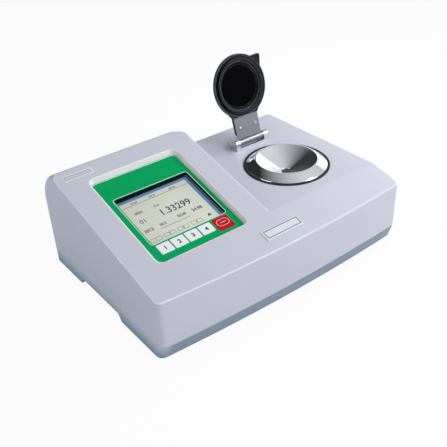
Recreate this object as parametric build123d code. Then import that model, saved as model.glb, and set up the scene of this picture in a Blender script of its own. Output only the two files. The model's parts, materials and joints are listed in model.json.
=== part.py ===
from build123d import *
from math import asin, atan2, cos, degrees, hypot, radians, sin, sqrt, tan
import os

# Benchtop digital refractometer: a wedge-shaped case with a sloping display console on the left and a
# level deck on the right, where a steel sample stage sits under a hinged lid.
# Millimetres. +X is to the right, +Y to the back, +Z up. The origin is on the bench, under the middle.

# ---- case ----
body_width = 370.0
body_depth = 260.0
console_top = 140.0          # top back edge of the console
console_width = 190.5        # from the left side to the console's right wall
deck_height = 94.6
front_edge_height = 83.1     # slope's lower edge at the two front corners
front_bow = 6.4              # how far the front bulges at its middle, at the slope's edge
front_bow_seam = 6.3
front_bow_bottom = 6.6
front_lean_seam = 0.2        # how far the front sits back at the seam
front_lean_bottom = 5.9      # and at the tray's bottom
front_corner = 7.0           # corner radius at the slope's edge, at the seam and at the bottom
front_corner_seam = 7.5
front_corner_bottom = 8.5
shoulder_run = 34.2          # the console's curved back, from its top edge to the rear wall
rear_flat = 45.0             # upright part of the rear wall, below the deck's level
rear_tuck = 1.0              # how far the rear wall curves in again at its bottom
rear_corner = 7.0
console_corner = 15.0
deck_blend = 12.0            # round where the slope runs into the deck
edge_round = 2.0
wall = 3.0
fit_gap = 0.3                # loose fit between parts that are only placed together
slip_gap = 0.15              # close fit of the keys in their openings
running_gap = 0.05           # radial clearance of pins and shafts

# ---- base tray and feet ----
tray_bottom = 2.5
seam_height = 21.0
tongue_thickness = 1.5
tongue_height = 4.0
foot_radius = 9.0
foot_recess = 1.0
foot_from_side = 30.0
foot_from_front = 36.0
foot_from_rear = 38.0
notch_front = -30.0          # hand notches in both lower sides
notch_rear = 54.0
notch_height = 9.0
notch_depth = 25.0
notch_slope = 7.0            # run of the notch's sloping ends
vent_count = 8
vent_slot = (3.0, 46.0)
vent_pitch = 7.0
vent_from_front = 95.0

# ---- fasteners ----
m3_radius = 1.5
m3_clearance = 1.65
m3_head_radius = 2.6
m3_head_height = 1.6
m3_length = 6.0
case_screw_radius = 2.0
case_screw_clearance = 2.25
case_screw_head_radius = 3.8
case_screw_head_height = 3.4
case_screw_length = 18.0
case_screw_from_side = 50.0
case_screw_from_front = 30.0
case_screw_from_rear = 32.0
column_radius = 5.0
pillar_radius = 6.5
pillar_height = 6.5          # above the tray's floor

# ---- display recess, on the slope: x from the left side, s up the slope from its lower edge ----
recess_from_left = 33.5
recess_width = 124.2
recess_start = 44.7
recess_length = 154.3
recess_corner = 8.0
recess_draft = 0.4
recess_draft_top = 3.0
overlay_depth = 6.5          # slope face to overlay face
overlay_thickness = 1.0
ledge_thickness = 3.0
ledge_side = 8.0
ledge_right = 4.2
ledge_front = 6.3
ledge_back = 35.5
window_from_left = 12.5      # display window, from the recess's left and lower edges
window_from_front = 32.4
window_size = (104.4, 83.0)
window_corner = 3.0
window_thickness = 1.0
window_lap = 2.0             # how far the clear sheet and the display's frame lap past the window
window_lap_front = 1.5
lcd_frame_height = 4.0
lcd_thickness = 3.5
key_size = (17.0, 14.9)
key_pitch = 18.95
key_count = 4
key_from_left = 14.1
key_from_front = 14.2
key_corner = 0.8
start_size = (22.1, 20.3)
start_from_left = 91.2
start_from_front = 9.5
start_corner = 3.0
key_proud = 0.5
key_height = 2.2
key_flange = 0.6
key_flange_height = 0.6
key_travel = 0.5
key_board_side_gap = 2.4     # to the recess's sides
dome_radius = 4.5
dome_height = 0.8
board_thickness = 1.6
bracket_thickness = 1.2
bracket_boss_radius = 4.0
bracket_boss_start = 60.0
bracket_boss_spacing = 95.0
bracket_lap = 5.0
bracket_window = (70.0, 78.0)

# ---- plates on the slope ----
nameplate_size = (55.5, 16.0)
nameplate_start = 9.0
nameplate_thickness = 1.5
nameplate_bevel = 0.8
nameplate_border = 1.6
nameplate_inset = 0.3
label_size = (38.5, 9.5)
label_from_left = 10.0
label_from_top = 8.6
label_height = 0.5

# ---- sample stage: r from its axis, z from the deck ----
stage_from_right = 87.0
stage_y = -5.9
stage_seal_height = 1.5
stage_radius = 53.3
stage_seal_width = 3.7
stage_edge_height = 1.5
stage_rim_height = 9.0
stage_cone_width = 11.9      # from the outer edge in to the rim
stage_rim_width = 1.5
bowl_floor_radius = 6.3
bowl_depth = 10.0            # below the deck
bowl_wall = 4.3
stage_hub_radius = 17.0
stage_hub_bottom = 15.0
stage_flange_width = 9.3
retainer_lap = 7.5           # how far the retainer reaches under the deck
retainer_thickness = 3.0
prism_window_radius = 5.5
prism_size = (22.0, 12.0, 10.0)
prism_base_width = 8.0
prism_seat_gap = 0.3         # prism's face below the bowl's floor
prism_seal_radius = 8.2
prism_seal_depth = 2.0
holder_size = (44.0, 34.0, 13.0)
holder_screw_y = 11.5
light_bore = 4.5
sensor_radius = 1.5
sensor_length = 12.0
peltier_size = (24.0, 16.0, 3.6)
sink_size = (38.0, 48.0)
sink_base = 4.0
sink_fin_height = 22.0
sink_fin_count = 8
sink_fin_thickness = 1.6
sink_screw_x = 15.5

# ---- optics below the stage ----
arm_tilt = 30.0              # how far the lamp and camera tubes point down
tube_start = 24.0            # from the prism's faces
tube_length = 40.0
tube_radius = 9.0
tube_bore = 7.5
tube_clamp = 44.0            # where the frame holds each tube
clamp_size = (18.0, 26.0)
clamp_top = 72.0
optics_plate = (114.0, 34.0, 4.0)
optics_boss_height = 3.0
optics_boss_radius = 5.0
optics_screw_places = (32.0, 10.0)
optics_window = (44.0, 22.0)
lens_thickness = 3.0
lens_bulge = 1.6
filter_thickness = 2.0
sensor_board_size = 24.0
sensor_chip = (12.0, 8.0, 2.0)
lamp_bulb = (2.5, 3.0)

# ---- lid and hinge: reach from the pin, h above the pin's axis with the lid closed ----
pin_from_lid = 31.3          # behind the closed lid's edge
pin_height = 10.0
pin_radius = 2.0
hinge_width = 56.0
hinge_rear_reach = 18.1      # behind the pin
hinge_floor = 3.5
hinge_rear_height = 7.0
ear_width = 7.6
ear_radius = 5.0
lug_radius = 4.6
lug_offset = (8.0, -1.0)        # behind and above the pin
lug_width = 3.6
knuckle_radius = 4.8
knuckle_gap = 0.4
arm_reach = 33.5
arm_low = 0.6
arm_thickness = 2.0
arm_screw_x = 13.0
arm_screw_reach = 19.0
hinge_screw_x = 12.0
hinge_screw_reach = 12.1     # behind the pin
hinge_screw_head = 3.0
hinge_boss_depth = 8.0
lid_open_angle = 105.5
lid_overhang = 1.1           # past the stage's rim
lid_seat = 0.4               # gap between the closed lid's rim and the stage's rim
lid_top = 7.2
lid_crown_edge = 5.5         # where its top turns down, from its edge
lid_crown_drop = 1.6
lid_seal_inset = (6.1, 3.3)  # from the bowl's mouth
lid_seal_drop = 1.6          # how far the seal reaches below the lid's rim
lid_channel = 1.6
lid_floor = 3.4
liner_inset = 5.8            # from the seal's inside
liner_thickness = 1.0
neck_width = 40.0
neck_root_width = 52.0
neck_start = 10.0
neck_root = 42.0
tab_length = 12.0
tab_angle = 50.0             # from the lid's far edge, towards the right
tab_spread = 19.0
tab_round = 3.0
tab_thickness = 3.2

# ---- rear panel ----
panel_from_left = 33.0
panel_size = (180.0, 54.0)
panel_bottom = 30.0
panel_pocket = 4.0
panel_ledge = 5.5
panel_thickness = 1.5
panel_screw_inset = 3.0
fan_from_panel_left = 31.0
fan_size = 40.0
fan_depth = 10.0
fan_bore = 18.5
fan_hole_offset = 16.0
fan_hub_radius = 9.5
fan_tip_radius = 17.6
fan_blades = 7
fan_blade_chord = 0.8        # of the hub's length
fan_blade_angle = 50.0
fan_shaft_radius = 1.5
fan_spoke = 1.8
grille_slot = 2.6
grille_pitch = 4.4
port_from_panel_left = 86.0
port_flange = (31.0, 12.5, 1.0)
port_shell = (17.0, 8.4)
port_body = (19.0, 10.4, 12.0)
port_pin_pitch = 2.77
port_row_offset = 1.42       # each row from the middle
port_pin_radius = 0.5
switch_from_panel_right = 66.0
switch_bezel = (15.0, 21.0, 1.7)
switch_body = (12.6, 18.8, 14.0)
switch_cavity = (10.6, 15.6)
switch_cavity_depth = 9.8
rocker_tilt = 8.0
rocker_pivot_depth = 3.4     # behind the bezel's face
rocker_pivot_radius = 1.0
rocker_end_gap = 0.7
rocker_end_height = 3.2      # rocker's outline, from its pivot
rocker_middle_height = 2.4
rocker_skirt = -1.5
rocker_keel = (2.5, -3.0)
inlet_from_panel_right = 28.0
inlet_flange = (50.0, 22.5, 2.0)
inlet_body = (27.0, 20.0, 20.0)
inlet_socket = (24.2, 16.6)
inlet_socket_depth = 18.5
inlet_screw_x = 20.0
inlet_pin = (4.0, 2.0)
inlet_pin_reach = 12.0
inlet_pin_spacing = 7.0

# ---- electronics ----
main_board_size = (130.0, 105.0)
main_board_from_left = 35.0
main_board_front = -65.0
standoff_height = 10.0
standoff_radius = 3.5
standoff_inset = 5.0
processor = (50.0, 45.0, 24.0, 24.0, 2.0)       # from the board's front left corner, then size
memory_chips = ((84.0, 50.0, 14.0, 20.0, 1.6), (84.0, 26.0, 14.0, 14.0, 1.6))
board_sockets = ((20.0, 20.0, 8.0, 34.0, 9.0), (112.0, 30.0, 8.0, 44.0, 9.0), (46.0, 88.0, 40.0, 8.0, 9.0))
capacitor_places = ((24.0, 72.0), (36.0, 72.0))
capacitor_radius = 4.0
capacitor_height = 11.0
supply_size = (110.0, 46.0, 38.0)
supply_from_left = 93.0
supply_from_rear = 34.0
supply_wall = 1.2
supply_slot_count = 10
supply_slot = (3.0, 30.0)

# ---- places worked out from the sizes above ----
half_width = body_width / 2
half_depth = body_depth / 2
stage_seal_radius = stage_radius + stage_seal_width
stage_flange_inner = stage_radius - stage_flange_width
stage_rim_radius = stage_radius - stage_cone_width
bowl_radius = stage_rim_radius - stage_rim_width
lid_radius = stage_rim_radius + lid_overhang
lid_seal = (bowl_radius - lid_seal_inset[0], bowl_radius - lid_seal_inset[1])
liner_radius = lid_seal[0] - liner_inset
tab_reach = lid_radius + tab_length
pin_y = stage_y + lid_radius + pin_from_lid
hinge_rear = pin_y + hinge_rear_reach
hinge_screw_y = pin_y + hinge_screw_reach
slope_y = front_bow - half_depth                    # the slope's lower edge, at its corners
slope_angle = degrees(atan2(console_top - front_edge_height, half_depth - shoulder_run - slope_y))
slope_length = hypot(console_top - front_edge_height, half_depth - shoulder_run - slope_y)
console_right = console_width - half_width
floor_top = tray_bottom + wall
stage_x = half_width - stage_from_right
recess_left = recess_from_left - half_width
recess_right = recess_left + recess_width
ledge_depth = overlay_depth + overlay_thickness
panel_left = panel_from_left - half_width
panel_right = panel_left + panel_size[0]
panel_middle = panel_bottom + panel_size[1] / 2
panel_back = half_depth - panel_pocket              # the pocket's floor, which the panel rests on
panel_face = panel_back + panel_thickness
beyond = body_width + body_depth                    # longer than the body every way


# ---- helpers ----
def block(x, y, z):
    """A box between two values on each axis."""
    size = Box(x[1] - x[0], y[1] - y[0], z[1] - z[0])
    return Pos((x[0] + x[1]) / 2, (y[0] + y[1]) / 2, (z[0] + z[1]) / 2) * size


def centred(x, y, z):
    """A box of half-widths x and y around the Z axis, between two heights."""
    return block((-x, x), (-y, y), z)


def rod(radius, low, high, x=0, y=0):
    """An upright cylinder."""
    return Pos(x, y, (low + high) / 2) * Cylinder(radius, high - low)


def pipe(outer, inner, low, high, x=0, y=0):
    """An upright tube."""
    return rod(outer, low, high, x, y) - rod(inner, low - 1, high + 1, x, y)


def turned(points):
    """A solid of revolution about Z from (r, z) points."""
    outline = make_face(Plane.XZ * Polyline(*points, close=True))
    return revolve(outline, axis=Axis.Z)


def slab(x, y, z, corner):
    """A box with rounded upright edges."""
    face = Pos((x[0] + x[1]) / 2, (y[0] + y[1]) / 2, z[0]) * RectangleRounded(x[1] - x[0], y[1] - y[0], corner)
    return extrude(face, amount=z[1] - z[0], dir=(0, 0, 1))


def joined(shapes):
    """One compound of separate solids."""
    return Compound(children=[solid for shape in shapes for solid in shape.solids()])


def on_slope(shape):
    """From the slope's own frame (x, s, outwards) to the body's."""
    return Pos(0, slope_y, front_edge_height) * Rot(slope_angle, 0, 0) * shape


def on_stage(shape):
    return Pos(stage_x, stage_y, deck_height) * shape


def on_pin(shape):
    """From the closed lid's frame, with the pin's axis as X, to the open lid at rest."""
    return Pos(stage_x, pin_y, deck_height + pin_height) * Rot(-lid_open_angle, 0, 0) * shape


def facing_back(shape):
    """From a frame whose Z points out of the rear panel, with its face at z = 0, to the body's."""
    return Pos(0, panel_face, panel_middle) * Rot(-90, 0, 0) * shape


def screw(head_radius, head_height, radius, length):
    """A screw with its head above z = 0 and its shank below."""
    return rod(head_radius, 0, head_height) + rod(radius, -length, 0)


# ---- the case's outer form, and the same form at an inset from its faces ----
def front_outline(height, lean, bow, corner, inset):
    """Level outline with the bowed front and its corners, wider than the body behind them."""
    side = half_width - inset
    front = slope_y + lean + inset
    radius = corner - inset
    bow_radius = (side ** 2 + bow ** 2) / (2 * bow)
    bow_centre = front - bow + bow_radius
    corner_x = side - radius
    corner_y = bow_centre - sqrt((bow_radius - radius) ** 2 - corner_x ** 2)
    stretch = bow_radius / (bow_radius - radius)
    touch_x = corner_x * stretch
    touch_y = bow_centre + (corner_y - bow_centre) * stretch
    middle = atan2(touch_y - corner_y, touch_x - corner_x) / 2
    round_x = corner_x + radius * cos(middle)
    round_y = corner_y + radius * sin(middle)
    flare = side + wall * 10
    back = half_depth * 2
    outline = Wire([
        Edge.make_line((-flare, back), (-flare, corner_y)),
        Edge.make_line((-flare, corner_y), (-side, corner_y)),
        Edge.make_three_point_arc((-side, corner_y), (-round_x, round_y), (-touch_x, touch_y)),
        Edge.make_three_point_arc((-touch_x, touch_y), (0, front - bow), (touch_x, touch_y)),
        Edge.make_three_point_arc((touch_x, touch_y), (round_x, round_y), (side, corner_y)),
        Edge.make_line((side, corner_y), (flare, corner_y)),
        Edge.make_line((flare, corner_y), (flare, back)),
        Edge.make_line((flare, back), (-flare, back)),
    ])
    return Pos(0, 0, height) * Face(outline)


def front_form(inset):
    """Everything behind the leaning, bowed front."""
    top = deck_height + wall
    rise = (top - seam_height) / (front_edge_height - seam_height)
    sections = [
        front_outline(tray_bottom, front_lean_bottom, front_bow_bottom, front_corner_bottom, inset),
        front_outline(seam_height, front_lean_seam, front_bow_seam, front_corner_seam, inset),
        front_outline(
            top,
            front_lean_seam * (1 - rise),
            front_bow_seam + (front_bow - front_bow_seam) * rise,
            front_corner_seam + (front_corner - front_corner_seam) * rise,
            inset,
        ),
    ]
    above = block((-beyond, beyond), (-beyond, beyond), (top, console_top + beyond))
    return loft(sections, ruled=True) + above


def slope_height(y, inset):
    tilt = radians(slope_angle)
    return front_edge_height - inset / cos(tilt) + (y - slope_y) * tan(tilt)


def lower_back(inset):
    """The rear wall's tucked-in lower curve: its lowest point, its top and its arc."""
    top = deck_height - rear_flat
    drop = top - tray_bottom
    radius = (drop ** 2 + rear_tuck ** 2) / (2 * rear_tuck)
    centre = half_depth - radius
    turn = asin(drop / (radius - inset))
    low = (centre + (radius - inset) * cos(turn), tray_bottom)
    middle = (centre + (radius - inset) * cos(turn / 2), top - (radius - inset) * sin(turn / 2))
    return low, top, Edge.make_three_point_arc(low, middle, (half_depth - inset, top))


def deck_profile(inset):
    """Side view of the body at the deck: slope, round, deck and rear wall."""
    low, flat_bottom, tuck = lower_back(inset)
    back = half_depth - inset
    top = deck_height - inset
    front = -half_depth * 2
    tilt = radians(slope_angle)
    kink = slope_y + (top - slope_height(slope_y, inset)) / tan(tilt)
    run = deck_blend * tan(tilt / 2)
    deck_end = (kink + run, top)
    slope_end = (kink - run * cos(tilt), top - run * sin(tilt))
    middle = (deck_end[0] - deck_blend * sin(tilt / 2), top - deck_blend * (1 - cos(tilt / 2)))
    outline = Wire([
        tuck,
        Edge.make_line((back, flat_bottom), (back, top)),
        Edge.make_line((back, top), deck_end),
        Edge.make_three_point_arc(deck_end, middle, slope_end),
        Edge.make_line(slope_end, (front, slope_height(front, inset))),
        Edge.make_line((front, slope_height(front, inset)), (front, tray_bottom)),
        Edge.make_line((front, tray_bottom), low),
    ])
    return Plane.YZ * Face(outline), back - rear_tuck


def console_profile(inset):
    """Side view of the body at the console: slope, shoulder and rear wall."""
    low, flat_bottom, tuck = lower_back(inset)
    back = half_depth - inset
    front = -half_depth * 2
    drop = console_top - deck_height
    radius = (shoulder_run ** 2 + drop ** 2) / (2 * shoulder_run) - inset
    centre = back - radius
    grade = tan(radians(slope_angle))
    offset = slope_height(0, inset) - deck_height
    square = 1 + grade ** 2
    linear = 2 * (offset * grade - centre)
    constant = centre ** 2 + offset ** 2 - radius ** 2
    peak_y = (-linear + sqrt(linear ** 2 - 4 * square * constant)) / (2 * square)
    peak_z = slope_height(peak_y, inset)
    turn = atan2(peak_z - deck_height, peak_y - centre) / 2
    middle = (centre + radius * cos(turn), deck_height + radius * sin(turn))
    outline = Wire([
        tuck,
        Edge.make_line((back, flat_bottom), (back, deck_height)),
        Edge.make_three_point_arc((back, deck_height), middle, (peak_y, peak_z)),
        Edge.make_line((peak_y, peak_z), (front, slope_height(front, inset))),
        Edge.make_line((front, slope_height(front, inset)), (front, tray_bottom)),
        Edge.make_line((front, tray_bottom), low),
    ])
    return Plane.YZ * Face(outline), peak_y + rear_tuck


def wedge(profile, rear_from, left, right, left_corner, right_corner):
    """A profile drawn out from left to right, with its upright rear corners rounded."""
    body = extrude(Pos(left, 0, 0) * profile, amount=right - left, dir=(1, 0, 0))
    for side, corner in ((left, left_corner), (right, right_corner)):
        upright = [
            edge for edge in body.edges()
            if abs(edge.center().X - side) < running_gap and edge.center().Y > rear_from
        ]
        body = fillet(upright, corner)
    return body


def deck_form(inset):
    side = half_width - inset
    profile, rear_from = deck_profile(inset)
    corner = rear_corner - inset
    return wedge(profile, rear_from, -side, side, corner, corner) & front_form(inset)


def console_form(inset):
    profile, rear_from = console_profile(inset)
    body = wedge(
        profile, rear_from, inset - half_width, console_right - inset,
        rear_corner - inset, console_corner - inset,
    )
    return body & front_form(inset)


def outer_form():
    """The whole closed case, with its upper edges rounded; each round runs on along its tangent chain."""
    deck = deck_form(0)
    rear_edge = [
        edge for edge in deck.edges()
        if abs(edge.center().Z - deck_height) < running_gap and abs(edge.center().Y - half_depth) < running_gap
    ]
    console = console_form(0)
    right_edge = [
        edge for edge in console.edges()
        if abs(edge.center().X - console_right) < running_gap and edge.length > half_depth
    ]
    return fillet(rear_edge, edge_round) + fillet(right_edge, edge_round)


# ---- case ----
def case_screw_spots():
    x = half_width - case_screw_from_side
    front = slope_y + case_screw_from_front
    rear = half_depth - case_screw_from_rear
    return [(-x, front), (x, front), (-x, rear), (x, rear)]


def foot_spots():
    x = half_width - foot_from_side
    front = slope_y + foot_from_front
    rear = half_depth - foot_from_rear
    return {
        "front_left": (-x, front),
        "front_right": (x, front),
        "rear_left": (-x, rear),
        "rear_right": (x, rear),
    }


def bracket_boss_spots():
    """The display bracket's four bosses, in the slope's frame."""
    left = recess_left + ledge_side - bracket_boss_radius - slip_gap - wall
    right = recess_right - bracket_boss_radius + wall
    far = bracket_boss_start + bracket_boss_spacing
    return [(x, s) for x in (left, right) for s in (bracket_boss_start, far)]


def bracket_depth():
    """Slope face to the bracket's upper face, under the window, the display's frame and the display."""
    return ledge_depth + window_thickness + lcd_frame_height + lcd_thickness


def recess_cut():
    """The display recess, with drafted walls."""
    width = recess_width - 2 * recess_draft
    length = recess_length - recess_draft - recess_draft_top
    middle_s = recess_start + recess_draft + length / 2
    middle_x = recess_left + recess_width / 2
    mouth = Pos(middle_x, recess_start + recess_length / 2, 0)
    floor = Pos(middle_x, middle_s, -ledge_depth)
    sections = [
        floor * RectangleRounded(width, length, recess_corner),
        mouth * RectangleRounded(recess_width, recess_length, recess_corner),
    ]
    rise = extrude(sections[1], amount=wall, dir=(0, 0, 1))
    return loft(sections, ruled=True) + rise


def ledge_opening(low, high):
    x = (recess_left + ledge_side, recess_right - ledge_right)
    s = (recess_start + ledge_front, recess_start + recess_length - ledge_back)
    return slab(x, s, (low, high), window_corner)


def panel_cut(low, high, margin):
    """A box through the rear wall, as large as the rear panel less a margin."""
    x = (panel_left + margin, panel_right - margin)
    z = (panel_bottom + margin, panel_bottom + panel_size[1] - margin)
    return block(x, (low, high), z)


def case_shell(outer):
    """The hollow case before it is parted at the seam."""
    cavity = deck_form(wall) + console_form(wall)
    cavity -= block((-beyond, beyond), (-beyond, beyond), (-beyond, floor_top))
    return outer - cavity


def upper_housing(shell, outer):
    """Painted upper case: console, deck, display recess and rear pocket."""
    housing = shell & block((-beyond, beyond), (-beyond, beyond), (seam_height, beyond))
    ledge_bottom = ledge_depth + ledge_thickness
    pad_x = (recess_left - bracket_lap, recess_right + bracket_lap)
    pad_s = (recess_start - bracket_lap, recess_start + recess_length + bracket_lap)
    housing += on_slope(slab(pad_x, pad_s, (-ledge_bottom, -wall / 2), recess_corner))
    for x, s in bracket_boss_spots():
        housing += on_slope(rod(bracket_boss_radius, -bracket_depth(), -ledge_depth, x, s))
    housing -= on_slope(recess_cut())
    housing -= on_slope(ledge_opening(-ledge_bottom - 1, 0))
    for x, s in bracket_boss_spots():
        housing -= on_slope(rod(m3_radius, -bracket_depth() - 1, -bracket_depth() + 5, x, s))

    column_top = console_top
    columns = [rod(column_radius, floor_top + pillar_height, column_top, x, y) for x, y in case_screw_spots()]
    for column in columns:
        housing += column & outer
    for x, y in case_screw_spots():
        housing -= rod(case_screw_radius, floor_top, floor_top + case_screw_length, x, y)

    frame_margin = -bracket_lap
    housing += panel_cut(panel_back - wall, half_depth - wall / 2, frame_margin) & outer
    housing -= panel_cut(panel_back, beyond, 0)
    housing -= panel_cut(panel_back - wall - 1, panel_back + 1, panel_ledge)
    for x, z in panel_screw_spots():
        housing -= facing_back(Pos(x, panel_middle - z, 0) * rod(m3_radius, -2 * wall, 0))

    housing -= on_stage(rod(stage_radius + slip_gap + 1, -2 * wall, wall))
    for x in (-hinge_screw_x, hinge_screw_x):
        spot = (stage_x + x, hinge_screw_y)
        housing += rod(bracket_boss_radius, deck_height - hinge_boss_depth, deck_height - wall, *spot)
        housing -= rod(m3_radius, deck_height - hinge_boss_depth + 1, deck_height + 1, *spot)

    label_x = label_from_left - half_width
    label_s = slope_length - label_from_top - label_size[1]
    housing += on_slope(slab(
        (label_x, label_x + label_size[0]), (label_s, label_s + label_size[1]),
        (-wall / 2, label_height), 1,
    ))
    return housing


def base_tray(shell):
    """Base tray with its tongue, screw pillars, board standoffs, hand notches and air slots."""
    tray = shell & block((-beyond, beyond), (-beyond, beyond), (-beyond, seam_height))
    outer_face = wall + slip_gap
    inner_face = outer_face + tongue_thickness
    tongue_root = seam_height - tongue_height
    slice_below = block((-beyond, beyond), (-beyond, beyond), (tongue_root, seam_height))
    slice_above = block((-beyond, beyond), (-beyond, beyond), (seam_height, seam_height + tongue_height))
    inside = deck_form(inner_face)
    tray += (deck_form(wall - slip_gap) & slice_below) - inside
    tray += (deck_form(outer_face) & slice_above) - inside
    clear_of_pocket = panel_cut(0, beyond, -bracket_lap - fit_gap)
    tray -= clear_of_pocket

    for x, y in case_screw_spots():
        tray += rod(pillar_radius, tray_bottom, floor_top + pillar_height, x, y)
    for x, y in case_screw_spots():
        head_top = floor_top + case_screw_head_height
        tray -= rod(case_screw_head_radius + fit_gap, -1, head_top, x, y)
        tray -= rod(case_screw_clearance, 0, beyond, x, y)
    for x, y in foot_spots().values():
        tray -= rod(foot_radius, 0, tray_bottom + foot_recess, x, y)
    for x, y in board_spots():
        tray += rod(standoff_radius, floor_top, floor_top + standoff_height, x, y)
        tray -= rod(m3_radius, floor_top + 1, floor_top + standoff_height + 1, x, y)
    for x, y in optics_spots():
        tray += rod(optics_boss_radius, floor_top, floor_top + optics_boss_height, x, y)
        tray -= rod(m3_radius, tray_bottom + 1, floor_top + optics_boss_height + 1, x, y)

    roof = tray_bottom + notch_height
    grip = block(
        (half_width - notch_depth - wall, half_width - wall / 2),
        (notch_front - notch_slope - wall, notch_rear + notch_slope + wall),
        (tray_bottom, roof + wall),
    )
    opening = Plane.YZ * make_face(Polyline(
        (notch_front - notch_slope, tray_bottom - 1), (notch_front, roof),
        (notch_rear, roof), (notch_rear + notch_slope, tray_bottom - 1), close=True,
    ))
    scoop = extrude(Pos(half_width - notch_depth, 0, 0) * opening, amount=beyond, dir=(1, 0, 0))
    tray = tray + grip + mirror(grip, Plane.YZ) - scoop - mirror(scoop, Plane.YZ)

    for index in range(vent_count):
        x = stage_x + (index - (vent_count - 1) / 2) * vent_pitch
        y = slope_y + vent_from_front
        slot = (x - vent_slot[0] / 2, x + vent_slot[0] / 2)
        tray -= block(slot, (y, y + vent_slot[1]), (0, floor_top + 1))
    return tray


def case_screws():
    """Four long screws up through the tray's pillars."""
    length = case_screw_length - case_screw_head_height
    shape = Rot(180, 0, 0) * screw(case_screw_head_radius, case_screw_head_height, case_screw_radius, length)
    head_bottom = floor_top + case_screw_head_height
    return joined([Pos(x, y, head_bottom) * shape for x, y in case_screw_spots()])


def foot(x, y):
    return fillet(
        rod(foot_radius, 0, tray_bottom + foot_recess, x, y).edges().group_by(Axis.Z)[0], fit_gap
    )


def small_screw():
    """M3 screw, its head above z = 0."""
    return screw(m3_head_radius, m3_head_height, m3_radius, m3_length)


# ---- display, in the slope's frame ----
def window_span(lap=0.0):
    """The window's x and s ranges, widened by a lap."""
    x = recess_left + window_from_left
    s = recess_start + window_from_front
    return (x - lap, x + window_size[0] + lap), (s - lap, s + window_size[1] + lap)


def display_span():
    """The x and s ranges of the clear sheet, the display's frame and the display."""
    x, s = window_span(window_lap)
    return x, (s[0] + window_lap - window_lap_front, s[1])


def key_spans():
    """Each key's x and s ranges and corner radius."""
    s = recess_start + key_from_front
    spans = {}
    for index in range(key_count):
        x = recess_left + key_from_left + index * key_pitch
        spans["key_%d" % (index + 1)] = ((x, x + key_size[0]), (s, s + key_size[1]), key_corner)
    x = recess_left + start_from_left
    s = recess_start + start_from_front
    spans["start_key"] = ((x, x + start_size[0]), (s, s + start_size[1]), start_corner)
    return spans


def widened(span, margin):
    return (span[0] - margin, span[1] + margin)


def overlay_panel():
    """Flat printed panel on the recess's ledge, with its window and key openings."""
    side = recess_draft + slip_gap
    x = (recess_left + side, recess_right - side)
    s = (recess_start + side, recess_start + recess_length - recess_draft_top - slip_gap)
    panel = slab(x, s, (-ledge_depth, -overlay_depth), recess_corner)
    x, s = window_span()
    panel -= slab(x, s, (-ledge_depth - 1, 0), window_corner)
    for x, s, corner in key_spans().values():
        opening = (widened(x, slip_gap), widened(s, slip_gap))
        panel -= slab(*opening, (-ledge_depth - 1, 0), corner + slip_gap)
    return on_slope(panel)


def display_window():
    x, s = display_span()
    sheet = slab(x, s, (-ledge_depth - window_thickness, -ledge_depth), window_corner)
    return on_slope(sheet)


def lcd_frame():
    """Black frame between the clear sheet and the display."""
    x, s = display_span()
    top = -ledge_depth - window_thickness
    frame = slab(x, s, (top - lcd_frame_height, top), window_corner)
    x, s = window_span()
    frame -= slab(x, s, (top - lcd_frame_height - 1, top + 1), window_corner)
    return on_slope(frame)


def lcd_module():
    x, s = display_span()
    bottom = -bracket_depth()
    return on_slope(slab(x, s, (bottom, bottom + lcd_thickness), window_corner / 2))


def key(x, s, corner):
    """A key cap with the flange that keeps it under the panel."""
    top = key_proud - overlay_depth
    cap = slab(x, s, (top - key_height, top), corner)
    cap = fillet(cap.edges().group_by(Axis.Z)[-1], key_proud / 2)
    flange = slab(
        widened(x, key_flange), widened(s, key_flange),
        (top - key_height, top - key_height + key_flange_height), corner,
    )
    return on_slope(cap + flange)


def key_board_top():
    """Height of the key board's upper face: under the domes, which a pressed key just clears."""
    return key_proud - overlay_depth - key_height - key_travel - slip_gap - dome_height


def key_board():
    x = (recess_left + ledge_side + key_board_side_gap, recess_right - ledge_right - key_board_side_gap)
    s = (recess_start + ledge_front + fit_gap * 3, display_span()[1][0] - fit_gap)
    top = key_board_top()
    return on_slope(slab(x, s, (top - board_thickness, top), 1))


def dome_switches():
    """One metal dome under each key."""
    top = key_board_top()
    domes = []
    for x, s, corner in key_spans().values():
        dome = rod(dome_radius, top, top + dome_height, sum(x) / 2, sum(s) / 2)
        domes.append(on_slope(fillet(dome.edges().group_by(Axis.Z)[-1], dome_height / 2)))
    return joined(domes)


def display_bracket():
    """Steel plate that carries the display and the key board."""
    spots = bracket_boss_spots()
    reach = bracket_boss_radius + slip_gap
    x = widened((spots[0][0], spots[-1][0]), reach)
    s = (recess_start + ledge_front, spots[-1][1] + reach + wall)
    top = -bracket_depth()
    plate = slab(x, s, (top - bracket_thickness, top), wall)
    span_x, span_s = display_span()
    middle_x = sum(span_x) / 2
    middle_s = sum(span_s) / 2
    plate -= slab(
        (middle_x - bracket_window[0] / 2, middle_x + bracket_window[0] / 2),
        (middle_s - bracket_window[1] / 2, middle_s + bracket_window[1] / 2),
        (top - wall, top + wall), wall,
    )
    spans = list(key_spans().values())
    for index in (0, 2, len(spans) - 1):
        pad_x = sum(spans[index][0]) / 2
        pad_s = sum(spans[index][1]) / 2
        plate += rod(bracket_boss_radius, top, key_board_top() - board_thickness, pad_x, pad_s)
    for spot in spots:
        plate -= rod(m3_clearance, top - wall, top + wall, *spot)
    return on_slope(plate)


# ---- plate on the front strip, in the slope's frame ----
def nameplate():
    """Bevelled frame around a plain, slightly sunk face."""
    x = nameplate_size[0] / 2
    s = (nameplate_start, nameplate_start + nameplate_size[1])
    plate = slab((-x, x), s, (0, nameplate_thickness), 1)
    plate = chamfer(plate.edges().group_by(Axis.Z)[-1], nameplate_bevel)
    border = nameplate_bevel + nameplate_border
    face = slab(
        (border - x, x - border), widened(s, -border),
        (nameplate_thickness - nameplate_inset, nameplate_thickness + 1), nameplate_inset,
    )
    return on_slope(plate - face)


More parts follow.
